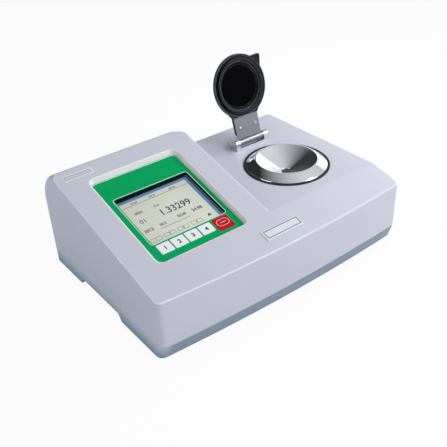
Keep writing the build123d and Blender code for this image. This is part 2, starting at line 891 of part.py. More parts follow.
# ---- sample stage, in the stage's frame ----
def bowl_height(radius):
    grade = (stage_rim_height + bowl_depth) / (bowl_radius - bowl_floor_radius)
    return (radius - bowl_floor_radius) * grade - bowl_depth


def prism_bore():
    return prism_window_radius + running_gap * 2


def stage_screw_spots():
    turn = (stage_radius + stage_flange_inner) / 2 / sqrt(2)
    return [(x, y) for x in (-turn, turn) for y in (-turn, turn)]


def stage_ring():
    """Polished steel dish: outer cone, narrow rim, conical bowl and a hub that holds the prism."""
    seat = -stage_hub_bottom
    inner = stage_flange_inner - 2 * wall
    ring = turned([
        (prism_bore(), -bowl_depth),
        (prism_bore(), seat + prism_seal_depth),
        (prism_seal_radius, seat + prism_seal_depth),
        (prism_seal_radius, seat),
        (stage_hub_radius, seat),
        (stage_hub_radius, bowl_height(stage_hub_radius) - bowl_wall),
        (inner, bowl_height(inner) - bowl_wall),
        (stage_flange_inner, -wall),
        (stage_radius, -wall),
        (stage_radius, stage_edge_height),
        (stage_rim_radius, stage_rim_height),
        (bowl_radius, stage_rim_height),
        (bowl_floor_radius, -bowl_depth),
    ])
    for x, y in stage_screw_spots():
        ring -= rod(m3_radius, -wall, m3_length - wall - retainer_thickness, x, y)
    for y in (-holder_screw_y, holder_screw_y):
        ring -= rod(m3_radius, seat, seat + m3_length / 2, 0, y)
    return on_stage(ring)


def stage_seal():
    """Black ring between the stage and the deck."""
    spigot = stage_radius + 1
    return on_stage(turned([
        (stage_radius, -wall),
        (spigot, -wall),
        (spigot, 0),
        (stage_seal_radius, 0),
        (stage_seal_radius, stage_seal_height / 2),
        (stage_seal_radius - stage_seal_height / 2, stage_seal_height),
        (stage_radius, stage_seal_height),
    ]))


def stage_retainer():
    """Flat ring under the deck that pulls the stage down."""
    inner = stage_flange_inner + fit_gap
    ring = pipe(stage_radius + retainer_lap, inner, -wall - retainer_thickness, -wall)
    for x, y in stage_screw_spots():
        ring -= rod(m3_clearance, -beyond, 0, x, y)
    return on_stage(ring)


def prism_body(margin=0.0):
    """Wedge with two sloping faces, its long side up."""
    top = -stage_hub_bottom
    half_top = prism_size[0] / 2 + margin
    half_base = prism_base_width / 2 + margin
    outline = Plane.XZ * make_face(Polyline(
        (-half_top, top), (half_top, top), (half_base, top - prism_size[2]),
        (-half_base, top - prism_size[2]), close=True,
    ))
    return extrude(outline, amount=prism_size[1] / 2 + margin, both=True)


def prism():
    window = rod(prism_window_radius, -stage_hub_bottom, -bowl_depth - prism_seat_gap)
    return on_stage(prism_body() + window)


def prism_seal():
    seat = -stage_hub_bottom
    return on_stage(pipe(prism_seal_radius, prism_window_radius, seat, seat + prism_seal_depth))


def on_arm(side, shape):
    """From a frame whose Z runs out from one of the prism's faces to the stage's frame."""
    tilt = radians(arm_tilt)
    face_x = side * (prism_size[0] + prism_base_width) / 4
    face_z = -stage_hub_bottom - prism_size[2] / 2
    arm = Plane(origin=(face_x, 0, face_z), x_dir=(0, 1, 0), z_dir=(side * cos(tilt), 0, -sin(tilt)))
    return arm * shape


def prism_holder():
    """Block that holds the prism under the stage's hub and spreads the heat."""
    top = -stage_hub_bottom
    bottom = top - holder_size[2]
    half_base = prism_base_width / 2
    holder = centred(holder_size[0] / 2, holder_size[1] / 2, (bottom, top))
    holder -= prism_body(running_gap)
    holder -= centred(half_base, prism_size[1] / 2, (bottom - 1, top - prism_size[2] / 2))
    for side in (-1, 1):
        holder -= on_arm(side, rod(light_bore, -1, holder_size[0]))
    seat = top - m3_length / 2
    for y in (-holder_screw_y, holder_screw_y):
        holder -= rod(m3_clearance, bottom - 1, top + 1, 0, y)
        holder -= rod(m3_head_radius + slip_gap, bottom - 1, seat, 0, y)
    for x, y in sink_screw_spots():
        holder -= rod(m3_radius, bottom, bottom + wall, x, y)
    holder -= sensor_shape()
    return on_stage(holder)


def sensor_shape():
    """Temperature probe, in from the holder's back beside the light path."""
    start = light_bore + sensor_radius
    middle = -stage_hub_bottom - holder_size[2] / 2
    probe = rod(sensor_radius, 0, sensor_length + sensor_radius)
    return Pos(prism_size[0] / 2 + wall, start, middle) * Rot(-90, 0, 0) * probe


def temperature_sensor():
    return on_stage(sensor_shape())


def peltier_top():
    return -stage_hub_bottom - holder_size[2]


def peltier_module():
    top = peltier_top()
    return on_stage(centred(peltier_size[0] / 2, peltier_size[1] / 2, (top - peltier_size[2], top)))


def sink_screw_spots():
    y = holder_size[1] / 2 - wall - m3_radius
    return [(sink_screw_x, y), (-sink_screw_x, -y)]


def heat_sink():
    top = peltier_top() - peltier_size[2]
    base = top - sink_base
    sink = centred(sink_size[0] / 2, sink_size[1] / 2, (base, top))
    pitch = (sink_size[0] - sink_fin_thickness) / (sink_fin_count - 1)
    for index in range(sink_fin_count):
        x = index * pitch - sink_size[0] / 2
        fin = (x, x + sink_fin_thickness)
        sink += block(fin, (-sink_size[1] / 2, sink_size[1] / 2), (base - sink_fin_height, base))
    for x, y in sink_screw_spots():
        sink -= rod(m3_head_radius + fit_gap, -beyond, base, x, y)
        sink -= rod(m3_clearance, base - 1, top + 1, x, y)
    return on_stage(sink)


def sink_screws():
    """Two longer screws that pull the heat sink up against the heat pump."""
    base = peltier_top() - peltier_size[2] - sink_base
    length = sink_base + peltier_size[2] + wall - fit_gap
    shape = Rot(180, 0, 0) * screw(m3_head_radius, m3_head_height, m3_radius, length)
    return joined([on_stage(Pos(x, y, base) * shape) for x, y in sink_screw_spots()])


# ---- optics ----
def optics_spots():
    x, y = optics_screw_places
    return [(stage_x + dx, stage_y + dy) for dx in (-x, x) for dy in (-y, y)]


def optics_frame():
    """Plate on the tray with a bored block for each tube."""
    low = floor_top + optics_boss_height - deck_height
    plate_top = low + optics_plate[2]
    frame = centred(optics_plate[0] / 2, optics_plate[1] / 2, (low, plate_top))
    frame -= centred(optics_window[0] / 2, optics_window[1] / 2, (low - 1, plate_top + 1))
    clamp_x = (prism_size[0] + prism_base_width) / 4 + tube_clamp * cos(radians(arm_tilt))
    for side in (-1, 1):
        clamp = centred(clamp_size[0] / 2, clamp_size[1] / 2, (low, clamp_top - deck_height))
        frame += Pos(side * clamp_x, 0, 0) * clamp
    for side in (-1, 1):
        frame -= on_arm(side, rod(tube_radius, 0, tube_start + 2 * tube_length))
    for x, y in optics_spots():
        frame -= rod(m3_clearance, low - 1, plate_top + 1, x - stage_x, y - stage_y)
    return on_stage(frame)


def tube(side):
    return on_stage(on_arm(side, pipe(tube_radius, tube_bore, tube_start, tube_start + tube_length)))


def lens(side, place):
    """Flat on the prism's side and domed on the other."""
    crown = place + lens_thickness + lens_bulge
    curvature = (tube_bore ** 2 + lens_bulge ** 2) / (2 * lens_bulge)
    dome = Pos(0, 0, crown - curvature) * Sphere(curvature)
    return on_stage(on_arm(side, rod(tube_bore, place, crown) & dome))


def interference_filter():
    place = tube_start + tube_length / 2
    return on_stage(on_arm(-1, rod(tube_bore, place, place + filter_thickness)))


def lamp_board():
    """Round board with the yellow lamp on it, at the tube's outer end."""
    end = tube_start + tube_length
    board = rod(tube_radius, end, end + board_thickness)
    bulb = rod(lamp_bulb[0], end - lamp_bulb[1], end)
    return on_stage(on_arm(-1, board + bulb))


def sensor_board():
    """Square board with the image sensor on it, at the other tube's outer end."""
    end = tube_start + tube_length
    board = centred(sensor_board_size / 2, sensor_board_size / 2, (end, end + board_thickness))
    chip = centred(sensor_chip[0] / 2, sensor_chip[1] / 2, (end - sensor_chip[2], end))
    return on_stage(on_arm(1, board + chip))


# ---- lid and hinge ----
lid_reach = pin_y - stage_y
rim_height = stage_rim_height + lid_seat - pin_height
arm_top = arm_low + arm_thickness
ear_inner = hinge_width / 2 - ear_width
knuckle_half = ear_inner - knuckle_gap


def across(radius, left, right, y=0, z=0):
    """A cylinder along X."""
    return Pos((left + right) / 2, y, z) * Rot(0, 90, 0) * Cylinder(radius, right - left)


def on_deck(shape):
    """From a frame at the pin's place on the deck, with Z up, to the body's."""
    return Pos(stage_x, pin_y, deck_height) * shape


def hinge_base():
    """Steel base: a floor, two ears that hold the pin, and a stop lug on the right ear."""
    half = hinge_width / 2
    rear = hinge_rear - pin_y
    base = block((-half, half), (-ear_radius, rear), (0, hinge_floor))
    for left, right in ((-half, -ear_inner), (ear_inner, half)):
        base += block((left, right), (-ear_radius, ear_radius), (0, pin_height))
        base += across(ear_radius, left, right, 0, pin_height)
        base += block((left, right), (0, rear), (0, hinge_rear_height))
    lug = across(lug_radius, ear_inner, ear_inner + lug_width, lug_offset[0], pin_height + lug_offset[1])
    base += lug
    base -= across(pin_radius, -beyond, beyond, 0, pin_height)
    for x in (-hinge_screw_x, hinge_screw_x):
        y = hinge_screw_y - pin_y
        base -= rod(m3_radius, -1, beyond, x, y)
        base -= rod(hinge_screw_head + slip_gap, hinge_floor - m3_head_height, hinge_floor + 1, x, y)
    return on_deck(base)


def hinge_base_screws():
    shape = screw(hinge_screw_head, m3_head_height, m3_radius, m3_length)
    height = hinge_floor - m3_head_height
    y = hinge_screw_y - pin_y
    return joined([on_deck(Pos(x, y, height) * shape) for x in (-hinge_screw_x, hinge_screw_x)])


def hinge_pin():
    pin = across(pin_radius, -hinge_width / 2 - 1, hinge_width / 2 + 1, 0, pin_height)
    ends = [edge for edge in pin.edges() if abs(edge.center().X) > hinge_width / 2]
    return on_deck(fillet(ends, pin_radius / 4))


def hinge_arm():
    """Steel plate with a rolled knuckle that turns on the pin."""
    arm = block((-knuckle_half, knuckle_half), (-arm_reach, 0), (arm_low, arm_top))
    arm += across(knuckle_radius, -knuckle_half, knuckle_half)
    arm -= across(pin_radius + running_gap, -beyond, beyond)
    for x in (-arm_screw_x, arm_screw_x):
        arm -= rod(m3_clearance, -wall, 2 * wall, x, -arm_screw_reach)
    return on_pin(arm)


def hinge_arm_screws():
    """Two screws from below, through the arm and into the lid's neck."""
    shape = Rot(180, 0, 0) * screw(m3_head_radius, m3_head_height, m3_radius, arm_thickness + wall)
    return joined([
        on_pin(Pos(x, -arm_screw_reach, arm_low) * shape) for x in (-arm_screw_x, arm_screw_x)
    ])


def polar(radius, angle):
    """A point about the lid's centre, its angle from the far edge towards the right."""
    turn = radians(angle)
    return (radius * sin(turn), -radius * cos(turn))


def lid_groove_radius():
    return lid_radius - wall * 0.7


def lid_shell():
    """Black moulded lid with a grooved rim, a neck for the arm and a pointed finger tab."""
    groove = lid_groove_radius()
    lip = lid_seal[0] - fit_gap
    dish = turned([
        (0, lid_top),
        (liner_radius, lid_top - 0.2),
        (lid_radius - lid_crown_edge, lid_top - lid_crown_drop),
        (lid_radius, rim_height + tab_thickness),
        (lid_radius, rim_height),
        (groove, rim_height),
        (groove, lid_channel),
        (lip, lid_channel),
        (lip, rim_height + fit_gap),
        (lip - tongue_thickness, rim_height + fit_gap),
        (liner_radius + fit_gap, lid_floor),
        (0, lid_floor),
    ])
    tab_face = make_face(Polyline(
        polar(groove, tab_angle - tab_spread), polar(tab_reach, tab_angle),
        polar(groove, tab_angle + tab_spread), close=True,
    ))
    tip = tab_face.vertices().sort_by_distance(polar(tab_reach, tab_angle) + (0,))[0]
    tab = extrude(Pos(0, 0, rim_height) * fillet(tip, tab_round), amount=tab_thickness, dir=(0, 0, 1))

    plan = make_face(Polyline(
        (-neck_width / 2, -neck_start), (neck_width / 2, -neck_start),
        (neck_width / 2, -arm_reach), (neck_root_width / 2, -neck_root),
        (-neck_root_width / 2, -neck_root), (-neck_width / 2, -arm_reach), close=True,
    ))
    side = Plane.YZ * make_face(Polyline(
        (-neck_start, arm_top), (-neck_start, arm_top + wall + fit_gap),
        (-arm_reach, lid_top - fit_gap), (-neck_root - wall, lid_top - 2 * fit_gap),
        (-neck_root - wall, rim_height), (-arm_reach - slip_gap, rim_height),
        (-arm_reach - slip_gap, arm_top), close=True,
    ))
    neck = extrude(Pos(0, 0, rim_height) * plan, amount=2 * lid_top, dir=(0, 0, 1))
    neck &= extrude(side, amount=neck_root_width, both=True)

    additions = Pos(0, -lid_reach, 0) * tab + neck
    additions -= Pos(0, -lid_reach, 0) * rod(groove, -beyond, lid_channel)
    lid = Pos(0, -lid_reach, 0) * dish + additions
    arm_room = knuckle_half + slip_gap
    lid -= block((-arm_room, arm_room), (-arm_reach - slip_gap, 0), (-beyond, arm_top))
    for x in (-arm_screw_x, arm_screw_x):
        lid -= rod(m3_radius, arm_low, arm_low + arm_thickness + wall, x, -arm_screw_reach)
    return on_pin(lid)


def lid_seal_ring():
    ring = pipe(lid_seal[1], lid_seal[0], rim_height - lid_seal_drop, lid_channel)
    return on_pin(Pos(0, -lid_reach, 0) * ring)


def lid_liner():
    return on_pin(Pos(0, -lid_reach, 0) * rod(liner_radius, lid_floor - liner_thickness, lid_floor))


# ---- rear panel and what it carries, in a frame whose Z points out of the panel ----
def panel_screw_spots():
    """Places of the panel's screws as x and height."""
    x = (panel_left + panel_screw_inset, panel_right - panel_screw_inset)
    z = (panel_bottom + panel_screw_inset, panel_bottom + panel_size[1] - panel_screw_inset)
    return [(a, b) for a in x for b in z]


def fan_x():
    return panel_left + fan_from_panel_left


def switch_x():
    return panel_right - switch_from_panel_right


def inlet_x():
    return panel_right - inlet_from_panel_right


def port_x():
    return panel_left + port_from_panel_left


def fan_screw_spots():
    corners = (-fan_hole_offset, fan_hole_offset)
    return [(fan_x() + x, y) for x in corners for y in corners]


def rear_panel():
    plate = block(
        (panel_left + fit_gap, panel_right - fit_gap),
        (fit_gap - panel_size[1] / 2, panel_size[1] / 2 - fit_gap),
        (-panel_thickness, 0),
    )
    through = (-2 * panel_thickness, panel_thickness)
    for x, z in panel_screw_spots():
        plate -= rod(m3_clearance, *through, x, panel_middle - z)
    for x, y in fan_screw_spots():
        plate -= rod(m3_clearance, *through, x, y)
    rows = int((fan_bore - grille_slot) / grille_pitch)
    for row in range(-rows, rows + 1):
        y = row * grille_pitch
        half = sqrt(fan_bore ** 2 - (abs(y) + grille_slot / 2) ** 2)
        plate -= slab(
            (fan_x() - half, fan_x() + half), (y - grille_slot / 2, y + grille_slot / 2),
            through, grille_slot / 2 - slip_gap,
        )
    plate -= slab(
        widened((port_x() - port_shell[0] / 2, port_x() + port_shell[0] / 2), slip_gap),
        widened((-port_shell[1] / 2, port_shell[1] / 2), slip_gap), through, 2,
    )
    for x, size in ((switch_x(), switch_body), (inlet_x(), inlet_body)):
        half_x = size[0] / 2 + slip_gap
        half_y = size[1] / 2 + slip_gap
        plate -= block((x - half_x, x + half_x), (-half_y, half_y), through)
    for x in (-inlet_screw_x, inlet_screw_x):
        plate -= rod(m3_clearance, *through, inlet_x() + x, 0)
    return facing_back(plate)


def rear_screws():
    """Screws of the panel, the fan and the power inlet."""
    shape = small_screw()
    screws = [Pos(x, panel_middle - z, 0) * shape for x, z in panel_screw_spots()]
    screws += [Pos(x, y, 0) * shape for x, y in fan_screw_spots()]
    sunk = inlet_flange[2] - m3_head_height
    screws += [Pos(inlet_x() + x, 0, sunk) * shape for x in (-inlet_screw_x, inlet_screw_x)]
    return joined([facing_back(one) for one in screws])


def fan_frame():
    back = -panel_thickness - fan_depth
    half = fan_size / 2
    frame = slab((-half, half), (-half, half), (back, -panel_thickness), wall)
    frame -= rod(fan_bore, back - 1, 0)
    spoke_z = (back, back + fan_spoke)
    frame += rod(fan_hub_radius, *spoke_z)
    for index in range(3):
        frame += Rot(0, 0, 90 + index * 120) * block((0, fan_bore + 1), (-fan_spoke, fan_spoke), spoke_z)
    frame -= rod(fan_shaft_radius + running_gap, back - 1, 0)
    for x in (-fan_hole_offset, fan_hole_offset):
        for y in (-fan_hole_offset, fan_hole_offset):
            frame -= rod(m3_radius, back - 1, 0, x, y)
    return facing_back(Pos(fan_x(), 0, 0) * frame)


def fan_rotor():
    back = -panel_thickness - fan_depth
    hub_back = back + fan_spoke + fit_gap
    hub_front = -panel_thickness - fit_gap
    rotor = rod(fan_hub_radius, hub_back, hub_front)
    rotor += rod(fan_shaft_radius, back + running_gap, hub_back)
    length = fan_tip_radius - fan_hub_radius + 1
    chord = (hub_front - hub_back) * fan_blade_chord
    blade = Rot(fan_blade_angle, 0, 0) * Box(length, chord, fan_spoke / 2)
    middle = (hub_front + hub_back) / 2
    for index in range(fan_blades):
        turn = index * 360 / fan_blades
        rotor += Rot(0, 0, turn) * Pos(fan_tip_radius - length / 2, 0, middle) * blade
    return facing_back(Pos(fan_x(), 0, 0) * rotor)


def serial_port():
    """Nine-hole data socket, its flange behind the panel."""
    back = -panel_thickness
    half_x = port_flange[0] / 2
    half_y = port_flange[1] / 2
    port = slab((-half_x, half_x), (-half_y, half_y), (back - port_flange[2], back), 1)
    port += centred(port_body[0] / 2, port_body[1] / 2, (back - port_body[2], back))
    half_x = port_shell[0] / 2
    half_y = port_shell[1] / 2
    front = inlet_flange[2]
    port += slab((-half_x, half_x), (-half_y, half_y), (back, front), 2)
    for row, count in ((-1, 5), (1, 4)):
        for index in range(count):
            x = (index - (count - 1) / 2) * port_pin_pitch
            port -= rod(port_pin_radius, front - wall, front + 1, x, row * port_row_offset)
    return facing_back(Pos(port_x(), 0, 0) * port)


def rocker_pivot():
    return switch_bezel[2] - rocker_pivot_depth


def power_switch_housing():
    bezel = slab(
        (-switch_bezel[0] / 2, switch_bezel[0] / 2), (-switch_bezel[1] / 2, switch_bezel[1] / 2),
        (0, switch_bezel[2]), 1,
    )
    housing = bezel + centred(switch_body[0] / 2, switch_body[1] / 2, (-switch_body[2], 0))
    cavity = (-switch_cavity_depth, switch_bezel[2] + 1)
    housing -= centred(switch_cavity[0] / 2, switch_cavity[1] / 2, cavity)
    reach = switch_body[0] / 2 - slip_gap
    housing -= across(rocker_pivot_radius + running_gap, -reach, reach, 0, rocker_pivot())
    return facing_back(Pos(switch_x(), 0, 0) * housing)


def power_rocker():
    """Rocker tipped to off, on two stub pivots."""
    half = switch_cavity[0] / 2 - slip_gap
    length = switch_cavity[1] / 2 - rocker_end_gap
    outline = Plane.YZ * make_face(Polyline(
        (-length, rocker_end_height), (0, rocker_middle_height), (length, rocker_end_height),
        (length - 1, rocker_skirt), (rocker_keel[0], rocker_keel[1]),
        (-rocker_keel[0], rocker_keel[1]), (1 - length, rocker_skirt), close=True,
    ))
    reach = switch_body[0] / 2 - 2 * slip_gap
    rocker = extrude(outline, amount=half, both=True) + across(rocker_pivot_radius, -reach, reach)
    return facing_back(Pos(switch_x(), 0, rocker_pivot()) * Rot(rocker_tilt, 0, 0) * rocker)


def inlet_pin_spots():
    """Live, neutral and, above them, earth."""
    return [(-inlet_pin_spacing, 2), (inlet_pin_spacing, 2), (0, -2)]


def inlet_pin_shape(x, y):
    root = inlet_flange[2] - inlet_socket_depth
    tail = -inlet_body[2] - 2 * wall
    half_x = inlet_pin[1] / 2
    half_y = inlet_pin[0] / 2
    return block((x - half_x, x + half_x), (y - half_y, y + half_y), (tail, root + inlet_pin_reach))


def power_inlet():
    inlet = slab(
        (-inlet_flange[0] / 2, inlet_flange[0] / 2), (-inlet_flange[1] / 2, inlet_flange[1] / 2),
        (0, inlet_flange[2]), 4,
    )
    inlet += centred(inlet_body[0] / 2, inlet_body[1] / 2, (-inlet_body[2], 0))
    root = inlet_flange[2] - inlet_socket_depth
    inlet -= centred(inlet_socket[0] / 2, inlet_socket[1] / 2, (root, inlet_flange[2] + 1))
    for spot in inlet_pin_spots():
        inlet -= inlet_pin_shape(*spot)
    for x in (-inlet_screw_x, inlet_screw_x):
        inlet -= rod(m3_clearance, -1, wall, x, 0)
        inlet -= rod(m3_head_radius + slip_gap, inlet_flange[2] - m3_head_height, wall, x, 0)
    return facing_back(Pos(inlet_x(), 0, 0) * inlet)


def inlet_pins():
    return joined([facing_back(Pos(inlet_x(), 0, 0) * inlet_pin_shape(*spot)) for spot in inlet_pin_spots()])


# ---- electronics ----
def board_corner():
    return main_board_from_left - half_width, main_board_front


def board_spots():
    x, y = board_corner()
    near = standoff_inset
    far_x = main_board_size[0] - standoff_inset
    far_y = main_board_size[1] - standoff_inset
    return [(x + dx, y + dy) for dx in (near, far_x) for dy in (near, far_y)]


def main_board():
    x, y = board_corner()
    low = floor_top + standoff_height
    board = block((x, x + main_board_size[0]), (y, y + main_board_size[1]), (low, low + board_thickness))
    for spot in board_spots():
        board -= rod(m3_clearance, low - 1, low + wall, *spot)
    return board


def board_components():
    """Processor, memory, connectors and capacitors on the main board."""
    x, y = board_corner()
    low = floor_top + standoff_height + board_thickness
    parts = []
    for right, back, width, depth, height in (processor, *memory_chips, *board_sockets):
        across_board = (x + right, x + right + width)
        along_board = (y + back, y + back + depth)
        parts.append(block(across_board, along_board, (low, low + height)))
    for right, back in capacitor_places:
        parts.append(rod(capacitor_radius, low, low + capacitor_height, x + right, y + back))
    return joined(parts)


def power_supply():
    """Sheet-metal box with air slots on its top."""
    x = (supply_from_left - half_width, supply_from_left - half_width + supply_size[0])
    y = (half_depth - supply_from_rear - supply_size[1], half_depth - supply_from_rear)
    z = (floor_top, floor_top + supply_size[2])
    supply = block(x, y, z) - block(*[widened(span, -supply_wall) for span in (x, y, z)])
    pitch = supply_size[0] / supply_slot_count
    for index in range(supply_slot_count):
        middle = x[0] + (index + 0.5) * pitch
        reach = sum(y) / 2
        supply -= block(
            (middle - supply_slot[0] / 2, middle + supply_slot[0] / 2),
            (reach - supply_slot[1] / 2, reach + supply_slot[1] / 2),
            (z[1] - wall, z[1] + wall),
        )
    return supply


def inner_screws():
    """M3 screws of the display bracket, main board, optics frame, stage and prism holder."""
    shape = small_screw()
    upward = Rot(180, 0, 0) * shape
    bracket_bottom = -bracket_depth() - bracket_thickness
    screws = [on_slope(Pos(x, s, bracket_bottom) * upward) for x, s in bracket_boss_spots()]
    board_top = floor_top + standoff_height + board_thickness
    screws += [Pos(x, y, board_top) * shape for x, y in board_spots()]
    plate_top = floor_top + optics_boss_height + optics_plate[2]
    screws += [Pos(x, y, plate_top) * shape for x, y in optics_spots()]
    retainer_bottom = -wall - retainer_thickness
    screws += [on_stage(Pos(x, y, retainer_bottom) * upward) for x, y in stage_screw_spots()]
    seat = -stage_hub_bottom - m3_length / 2
    screws += [on_stage(Pos(0, y, seat) * upward) for y in (-holder_screw_y, holder_screw_y)]
    return joined(screws)


def build_nodes():
    """Every piece of the instrument by name."""
    outer = outer_form()
    shell = case_shell(outer)
    nodes = {
        "upper_housing": upper_housing(shell, outer),
        "base_tray": base_tray(shell),
        "case_screws": case_screws(),
        "rear_panel": rear_panel(),
        "rear_screws": rear_screws(),
        "nameplate": nameplate(),
        "overlay_panel": overlay_panel(),
        "display_window": display_window(),
        "lcd_frame": lcd_frame(),
        "lcd_module": lcd_module(),
        "display_bracket": display_bracket(),
        "key_board": key_board(),
        "dome_switches": dome_switches(),
        "inner_screws": inner_screws(),
        "stage_ring": stage_ring(),
        "stage_seal": stage_seal(),
        "stage_retainer": stage_retainer(),
        "prism": prism(),
        "prism_seal": prism_seal(),
        "prism_holder": prism_holder(),
        "temperature_sensor": temperature_sensor(),
        "peltier_module": peltier_module(),
        "heat_sink": heat_sink(),
        "sink_screws": sink_screws(),
        "optics_frame": optics_frame(),
        "lamp_tube": tube(-1),
        "collimator_lens": lens(-1, tube_start + 2 * wall),
        "interference_filter": interference_filter(),
        "lamp_board": lamp_board(),
        "camera_tube": tube(1),
        "imaging_lens": lens(1, tube_start + 4 * wall),
        "sensor_board": sensor_board(),
        "main_board": main_board(),
        "board_components": board_components(),
        "power_supply": power_supply(),
        "power_inlet": power_inlet(),
        "inlet_pins": inlet_pins(),
        "power_switch_housing": power_switch_housing(),
        "power_rocker": power_rocker(),
        "serial_port": serial_port(),
        "fan_frame": fan_frame(),
        "fan_rotor": fan_rotor(),
        "lid_shell": lid_shell(),
        "lid_seal": lid_seal_ring(),
        "lid_liner": lid_liner(),
        "hinge_arm": hinge_arm(),
        "hinge_arm_screws": hinge_arm_screws(),
        "hinge_base": hinge_base(),
        "hinge_base_screws": hinge_base_screws(),
        "hinge_pin": hinge_pin(),
    }
    for name, (x, y) in foot_spots().items():
        nodes["foot_" + name] = foot(x, y)
    for name, (x, s, corner) in key_spans().items():
        nodes[name] = key(x, s, corner)
    return nodes


os.makedirs("parts", exist_ok=True)
for node, shape in build_nodes().items():
    export_step(shape, "parts/" + node + ".step")
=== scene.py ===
import json
from math import atan2, cos, pi, radians, sin

import bpy
from mathutils import Matrix, Vector


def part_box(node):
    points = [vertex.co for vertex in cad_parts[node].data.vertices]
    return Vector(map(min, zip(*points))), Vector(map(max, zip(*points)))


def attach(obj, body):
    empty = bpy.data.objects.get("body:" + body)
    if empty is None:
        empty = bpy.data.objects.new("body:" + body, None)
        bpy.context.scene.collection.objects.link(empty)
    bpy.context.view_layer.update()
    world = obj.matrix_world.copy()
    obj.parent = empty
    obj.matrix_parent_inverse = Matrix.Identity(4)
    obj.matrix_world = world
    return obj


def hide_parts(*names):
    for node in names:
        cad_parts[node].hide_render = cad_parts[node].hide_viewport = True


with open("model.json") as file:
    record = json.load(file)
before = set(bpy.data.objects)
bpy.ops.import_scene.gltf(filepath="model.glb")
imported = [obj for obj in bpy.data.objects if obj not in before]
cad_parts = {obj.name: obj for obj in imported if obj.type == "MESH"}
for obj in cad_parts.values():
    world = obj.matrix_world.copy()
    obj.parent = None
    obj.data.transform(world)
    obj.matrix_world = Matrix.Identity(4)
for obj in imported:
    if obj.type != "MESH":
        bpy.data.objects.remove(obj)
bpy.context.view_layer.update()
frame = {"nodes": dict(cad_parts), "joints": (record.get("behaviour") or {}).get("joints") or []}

MM = 0.001
MICRON = 0.000001

nodes = frame["nodes"]
joints = {joint["name"]: joint for joint in frame["joints"]}

# ---- places on the instrument, in metres ----
press = Vector(joints["key_1_press"]["axis"])            # straight into the slope
slope_tilt = atan2(press.y, -press.z)
uphill = Vector((0, cos(slope_tilt), sin(slope_tilt)))
slope_foot = Vector((0.0, -123.6, 83.1)) * MM             # the slope's lower edge
stage_low, stage_high = [Vector(corner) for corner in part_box("stage_seal")]
deck_height = 94.6 * MM
stage_centre = Vector(((stage_low.x + stage_high.x) / 2, (stage_low.y + stage_high.y) / 2, deck_height))
pin_place = Vector(joints["lid_hinge"]["pos_m"])
lid_opening = radians(joints["lid_hinge"]["range_deg"][1])
rear_middle = Vector((0.0, 127.5, 57.0)) * MM             # middle of the back panel's outer face

slope_frame = Matrix.Translation(slope_foot) @ Matrix.Rotation(slope_tilt, 4, "X")
stage_frame = Matrix.Translation(stage_centre)
lid_frame = Matrix.Translation(pin_place) @ Matrix.Rotation(-lid_opening, 4, "X")
rear_frame = Matrix.Translation(rear_middle) @ Matrix.Rotation(-pi / 2, 4, "X")

# ---- levels and spans, in millimetres ----
tray_floor = 5.5                   # the tray floor's upper face
# The recess walls are painted paler, a painted highlight.
recess_depths = (0.3, 6.8)         # the recess walls, measured down from the slope's face,
recess_heights = (43.0, 200.5)     # up the slope from its lower edge
recess_sides = (-153.0, -25.5)     # and across
seam_fade = (26.0, 30.0)           # where the paint's white edges, which are painted highlights, begin above the tray
# Painted light on the tray's left wall: paler by the seam, darker towards its foot.
left_wall = (-181.0, -170.0)       # from the tray's left wall inwards
foot_fade = (5.0, 20.0)            # and up it, from its foot
bowl_radius = 40.4

# ---- how close corners have to be to become one, in metres ----
weld = 1e-7
seam_weld = 1e-6


# ---- finishes ----
def tone(red, green, blue):
    """A colour written as it looks, 0 to 255, as the linear values that shaders take."""
    def linear(level):
        share = level / 255
        return share / 12.92 if share <= 0.04045 else ((share + 0.055) / 1.055) ** 2.4
    return (linear(red), linear(green), linear(blue), 1.0)


class Signal:
    """A shader socket that can be used in sums."""

    def __init__(self, finish, socket):
        self.finish = finish
        self.socket = socket

    def sum_with(self, operation, first, second):
        return self.finish.node("ShaderNodeMath", {"operation": operation}, {0: first, 1: second})

    def __add__(self, other):
        return self.sum_with("ADD", self, other)

    def __radd__(self, other):
        return self.sum_with("ADD", other, self)

    def __sub__(self, other):
        return self.sum_with("SUBTRACT", self, other)

    def __rsub__(self, other):
        return self.sum_with("SUBTRACT", other, self)

    def __mul__(self, other):
        return self.sum_with("MULTIPLY", self, other)

    def __rmul__(self, other):
        return self.sum_with("MULTIPLY", other, self)

    def __gt__(self, other):
        return self.sum_with("GREATER_THAN", self, other)

    def __lt__(self, other):
        return self.sum_with("LESS_THAN", self, other)


# Where a Mix node set to colours takes its share and its colours, and where it gives its result.
mix_share, mix_first, mix_second, mix_result = 0, 6, 7, 2
edge_samples = 6


